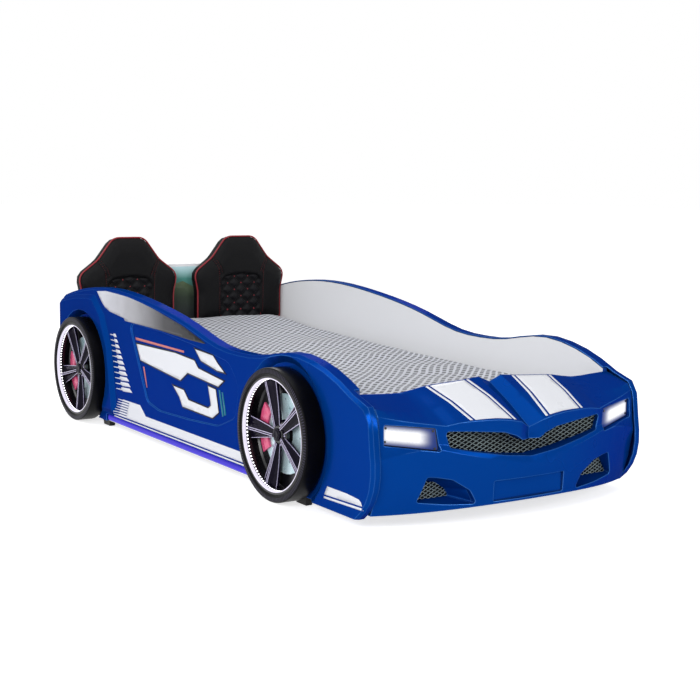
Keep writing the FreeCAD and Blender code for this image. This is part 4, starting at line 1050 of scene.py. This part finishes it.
def netEdges(settings):
    loop = spreadOut(settings["outline"], settings["margin"])
    pitch, rise = settings["pitch"], settings["rise"]
    xs, zs = zip(*loop)
    points, edges, known = [], [], {}

    def corner(p):
        key = (round(p[0], 2), round(p[1], 2))
        if key not in known:
            known[key] = len(points)
            points.append(at(p[0], settings["station"], p[1]))
        return known[key]

    for row in range(int((max(zs) - min(zs)) / rise * 2) + 3):
        z = min(zs) + (row - 1) * rise / 2
        for column in range(int((max(xs) - min(xs)) / pitch) + 3):
            x = min(xs) + (column - 1 + (row % 2) / 2) * pitch
            for side in (-1, 1):
                end = (x + side * pitch / 2, z + rise / 2)
                kept = [p for p in (between((x, z), end, t / 8) for t in range(9)) if inside(p, loop)]
                if len(kept) > 2:
                    edges.append((corner(kept[0]), corner(kept[-1])))
    start = len(points)
    points += [at(a, settings["station"], b) for a, b in loop]
    edges += [(start + i, start + (i + 1) % len(loop)) for i in range(len(loop))]
    return points, edges


def netShadeBoard(settings):
    # black board close behind a net, standing in for the shade in the hollow nose behind it: painted shade
    flat, triangles = filled(spreadOut(settings["outline"], settings["margin"] - 1), 30.0)
    front = settings["station"] + 1.6
    return [at(a, y, b) for y in (front, front + nets["backing"]) for a, b in flat], slabFaces(triangles, len(flat))


def makeNets():
    values = {"Width": nets["strand"]["width"], "Depth": nets["strand"]["depth"], "Material": finishes["meshGrey"]}
    for name, opening, side, node in (("grille{}", "grille", 1, "grille_mesh"),
                                      ("fog{}Right", "fog", 1, "fog_mesh_right"),
                                      ("fog{}Left", "fog", -1, "fog_mesh_left")):
        flip = Vector((side, 1, 1))
        points, edges = netEdges(nets[opening])
        net = grow(name.format("Net"), [p * flip for p in points], strandTree, values, edges)
        finishPiece(net, "black_metal", node)
        verts, faces = netShadeBoard(nets[opening])
        # painted shade: a black board where the hollow behind the net lies in shade
        board = solidPiece(name.format("ShadeBoard"), ([v * flip for v in verts], faces), "netBlack")
        finishPiece(board, "black_plastic")
    print("nets woven")


# seats

seat = {
    "centreX": 0.252, "seam": 1594, "voxel": 0.0052, "pressure": 4.0, "cap": (0.0012, 0.007),
    "outline": [(-196, 338, 8), (196, 338, 8), (196, 462, 150), (213, 537, 44), (131, 598, 110), (66, 684, 50),
                (-66, 684, 50), (-131, 598, 110), (-213, 537, 44), (-196, 462, 150)],
    "panel": [(-96, 344, 5), (96, 344, 5), (96, 522, 38), (0, 534, 120), (-96, 522, 38)],
    "seams": [[(138, 602), (110, 560), (99, 524)], [(129, 606), (101, 565), (88, 531)],
              [(106, 540), (103, 500), (103, 345)]],
    "channel": 0.0036, "channelWidth": 0.0042, "piping": 0.0031, "edging": 0.0009, "edgingStation": 1581.6,
    "stitch": (0.0046, 0.0010, 0.0010), "knot": (0.0085, 0.0085, 0.0045),
    # quilting: a diamond's width and height, the height of a crossing, and where the panel lies
    "diamond": (63, 55), "crossing": 436, "puff": 0.010, "groove": 0.17, "rimWidth": 9,
    "panelFront": 1584, "panelBack": 1588.5, "threadsAbove": 368,
}


def rounded(cornersOf, runs=6):
    points = []
    count = len(cornersOf)
    for i, (a, b, radius) in enumerate(cornersOf):
        here = Vector((a, b))
        back = (Vector(cornersOf[i - 1][:2]) - here).normalized()
        ahead = (Vector(cornersOf[(i + 1) % count][:2]) - here).normalized()
        half = back.angle(ahead) / 2
        centre = here + (back + ahead).normalized() * radius / math.sin(half)
        start = here + back * radius / math.tan(half) - centre
        end = here + ahead * radius / math.tan(half) - centre
        sweep = math.pi - 2 * half
        for k in range(runs + 1):
            part = k / runs
            p = centre + start * (math.sin((1 - part) * sweep) / math.sin(sweep)) \
                + end * (math.sin(part * sweep) / math.sin(sweep))
            points.append((p.x, p.y))
    return points


def evenly(points, step, closed=True):
    # the same line again with even steps
    line = points + points[:1] if closed else points
    lengths = [math.dist(a, b) for a, b in zip(line, line[1:])]
    count = max(2, round(sum(lengths) / step))
    out, i, gone = [], 0, 0.0
    for k in range(count if closed else count + 1):
        want = sum(lengths) * k / count
        while i < len(lengths) - 1 and gone + lengths[i] < want:
            gone += lengths[i]
            i += 1
        out.append(between(line[i], line[i + 1], (want - gone) / lengths[i] if lengths[i] else 0))
    return out


def gapTo(flat, line):
    # distance of many flat points from one line
    best = np.full(len(flat), 1e9)
    for a, b in zip(line, line[1:]):
        a, b = np.array(a), np.array(b)
        along = np.clip(((flat - a) @ (b - a)) / max(((b - a) @ (b - a)), 1e-12), 0, 1)
        best = np.minimum(best, np.linalg.norm(flat - (a + along[:, None] * (b - a)), axis=1))
    return best


def readPoints(mesh):
    flat = np.empty(len(mesh.vertices) * 3)
    mesh.vertices.foreach_get("co", flat)
    return flat.reshape(-1, 3)


def writePoints(mesh, points):
    mesh.vertices.foreach_set("co", points.reshape(-1))
    mesh.update()


def puffed(name, shape, finish, voxel, pressure, cap):
    # voxel skin, blown up a little as cloth, each point held within its cap, then subdivided once
    piece = solidPiece(name, shape, finish)
    remesh = piece.modifiers.new("voxels", "REMESH")
    remesh.mode, remesh.voxel_size = "VOXEL", voxel
    settle(piece)
    rest = readPoints(piece.data)
    cloth = piece.modifiers.new("cloth", "CLOTH")
    cloth.settings.quality = 5
    cloth.settings.use_pressure = True
    cloth.settings.uniform_pressure_force = pressure
    cloth.settings.effector_weights.gravity = 0
    cloth.point_cache.frame_start, cloth.point_cache.frame_end = 1, 20
    for number in range(1, 21):
        scene.frame_set(number)
    settle(piece)
    scene.frame_set(1)
    moved = readPoints(piece.data) - rest
    limit = cap(rest) if callable(cap) else cap
    length = np.maximum(np.linalg.norm(moved, axis=1), 1e-9)
    writePoints(piece.data, rest + moved * (np.minimum(length, limit) / length)[:, None])
    finer = piece.modifiers.new("finer", "SUBSURF")
    finer.levels = finer.render_levels = 1
    settle(piece)
    piece.data.shade_smooth()
    return piece


def tube(path, radius, sides=10):
    # closed round cord through points, for piping
    verts, count = [], len(path)
    for i, point in enumerate(path):
        heading = (path[(i + 1) % count] - path[i - 1]).normalized()
        across = heading.cross(Vector((0, 1, 0))).normalized()
        other = across.cross(heading)
        verts += [point + across * a + other * b for a, b in polygon((0, 0), radius, sides)]
    return verts, gridFaces(count, sides, True)


def makeSeats():
    outline = rounded(seat["outline"])
    rim = [tuple(c / 1000 for c in p) for p in outline + outline[:1]]
    seamY = at(0, seat["seam"], 0).y

    def flatOf(points):
        return np.stack([points[:, 0] + seat["centreX"], points[:, 2]], axis=1)

    def cap(rest):
        low, high = seat["cap"]
        return low + (high - low) * np.clip(gapTo(flatOf(rest), rim) / 0.05, 0, 1)

    cushion = puffed("seatBackrestRight", mergedNode("seat_backrest_right"), "seatLeather", seat["voxel"],
                     seat["pressure"], cap)
    skin = readPoints(cushion.data)
    flat, front = flatOf(skin), skin[:, 1] < seamY + 0.003
    for seam in seat["seams"]:
        for side in (1, -1):
            line = [(side * a / 1000, b / 1000) for a, b in seam]
            dent = seat["channel"] * np.exp(-(gapTo(flat, line) / seat["channelWidth"]) ** 2)
            skin[:, 1] += np.where(front, dent, 0)
    writePoints(cushion.data, skin)
    left = newObject("seatBackrestLeft", cushion.data.copy())
    writePoints(left.data, skin * (-1, 1, 1))
    left.data.flip_normals()
    surfaces["seat"] = BVHTree.FromPolygons(skin.tolist(), [tuple(p.vertices) for p in cushion.data.polygons])

    quiltVerts, quiltFaces = quiltShape()
    edgingY = at(0, seat["edgingStation"], 0).y
    cord = tube([Vector((a / 1000, seamY, b / 1000)) for a, b in evenly(outline, 7)], seat["piping"])
    edging = tube([Vector((a / 1000, edgingY, b / 1000)) for a, b in evenly(rounded(seat["panel"]), 6)],
                  seat["edging"], sides=6)
    stitches, alongs, knots = seatThreads()
    for side, sign, backrest in (("right", -1, cushion), ("left", 1, left)):
        shift, ending = Vector((sign * seat["centreX"], 0, 0)), side.title()
        quilt = solidPiece("seatQuilt" + ending, ([Vector(v) + shift for v in quiltVerts], quiltFaces),
                           "quiltLeather", sharpen=60)
        quilt.data.shade_smooth()
        for piece, node in ((backrest, "seat_backrest_"), (quilt, "seat_quilt_")):
            finishPiece(piece, "black_leather", node + side)
        for name, (verts, faces), finish, nodes in (("seatPiping", cord, "pipingRed", ["seat_piping_" + side]),
                                                    ("panelPiping", edging, "threadRed", [])):
            piece = solidPiece(name + ending, ([v + shift for v in verts], faces), finish)
            finishPiece(piece, "red_piping", *nodes)
        for name, spots, headings, size in (
                ("seatStitches", stitches, alongs, seat["stitch"]),
                ("seatKnots", knots, [Vector((1, 0, 0))] * len(knots), seat["knot"])):
            facing = [Vector((0, -1, 0))] * len(spots)
            piece = beads(name + ending, [p + shift for p in spots], facing, headings, size, "threadRed")
            finishPiece(piece, "red_piping")
    print("seats made")


def quiltHeight(x, z):
    # padded diamonds between two families of stitched lines
    across, up = x / seat["diamond"][0], (z - seat["crossing"]) / seat["diamond"][1]
    gaps = [abs(u - round(u)) for u in (across + up, across - up)]
    return math.prod(1 - math.exp(-(gap / seat["groove"]) ** 2) for gap in gaps) * (0.72 + 0.28 * min(gaps) * 2)


def quiltShape():
    loop = rounded(seat["panel"])
    backY, frontY = at(0, seat["panelBack"], 0).y, at(0, seat["panelFront"], 0).y
    flat, triangles = filled(loop, 3.4)
    front = []
    for (x, z), gap in zip(flat, gapTo(np.array(flat), loop + loop[:1])):
        rise = math.sqrt(max(0.0, 1 - (1 - min(1.0, gap / seat["rimWidth"])) ** 2))
        front.append((x / 1000, frontY + 0.003 * (1 - rise) - seat["puff"] * quiltHeight(x, z) * rise, z / 1000))
    return front + [(x / 1000, backY, z / 1000) for x, z in flat], slabFaces(triangles, len(flat))


def seatThreads():
    # stitches beside every seam with their headings, and a knot where the quilting lines cross
    stitches, alongs, knots = [], [], []
    for line in [[(side * a, b) for a, b in line] for line in seat["seams"] for side in (1, -1)]:
        steps = evenly(line, 8.5, closed=False)
        for (a, b), (nextA, nextB) in zip(steps, steps[1:]):
            start = Vector((a / 1000 - seat["centreX"], 0.9, b / 1000))
            hit = surfaces["seat"].ray_cast(start, Vector((0, 1, 0)))[0]
            if hit is not None and b > seat["threadsAbove"]:
                stitches.append(Vector((a / 1000, hit.y - 0.0004, b / 1000)))
                alongs.append(Vector((nextA - a, 0, nextB - b)).normalized())
    wide, tall = seat["diamond"]
    loop = rounded(seat["panel"])
    knotY = at(0, seat["panelFront"], 0).y - 0.0004
    for i in range(-12, 13):
        for j in range(-12, 13):
            x, z = (i + j) * wide / 2, seat["crossing"] + (i - j) * tall / 2
            clear = inside((x, z), loop) and gapTo(np.array([(x, z)]), loop + loop[:1])[0] > 7
            if clear and z > seat["threadsAbove"]:
                knots.append(Vector((x / 1000, knotY, z / 1000)))
    return stitches, alongs, knots


# mattress

mattress = {
    "voxel": 0.013, "pressure": 3.0, "cap": 0.004, "ripple": 0.0022, "rippleFrom": (0.345, 0.012),
    # how far the soft top lies below full height: by station, and towards the long edges
    "deck": 0.190, "height": 0.164, "stations": (-400, 176, 432, 732, 996, 1209, 1400, 1559),
    "sag": (0.046, 0.044, 0.040, 0.034, 0.028, 0.021, 0.008, 0), "edgeSag": 0.02, "edges": (0.33, 0.45),
}


def makeMattress():
    pad = puffed("mattressCover", mergedNode("mattress"), "dashCloth", mattress["voxel"], mattress["pressure"],
                 mattress["cap"])
    skin = readPoints(pad.data)
    x, y, z = skin.T
    start, reach = mattress["rippleFrom"]
    wave = np.sin(x * 23 + 1.7 * np.sin(y * 7)) * np.sin(y * 17 + np.sin(x * 9))
    z += mattress["ripple"] * wave * np.clip((z - start) / reach, 0, 1)
    near, far = mattress["edges"]
    edge = np.clip((np.abs(x) - near) / (far - near), 0, 1)
    sag = np.interp((y - car["frontAxleY"]) * 1000, mattress["stations"], mattress["sag"])
    sag += mattress["edgeSag"] * edge * edge * (3 - 2 * edge)
    z -= (z - mattress["deck"]) * sag / mattress["height"]
    writePoints(pad.data, skin)
    finishPiece(pad, "grey_fabric", "mattress", body="mattress")
    print("mattress made")


# build

for make in (makeCamera, makeStudio, makeFinishes, dressCarried, makeShells, makeHoodStripes, makeFlankFilms,
             makeHeadboardFilm, makeWheels, makeNets, makeSeats, makeMattress):
    make()
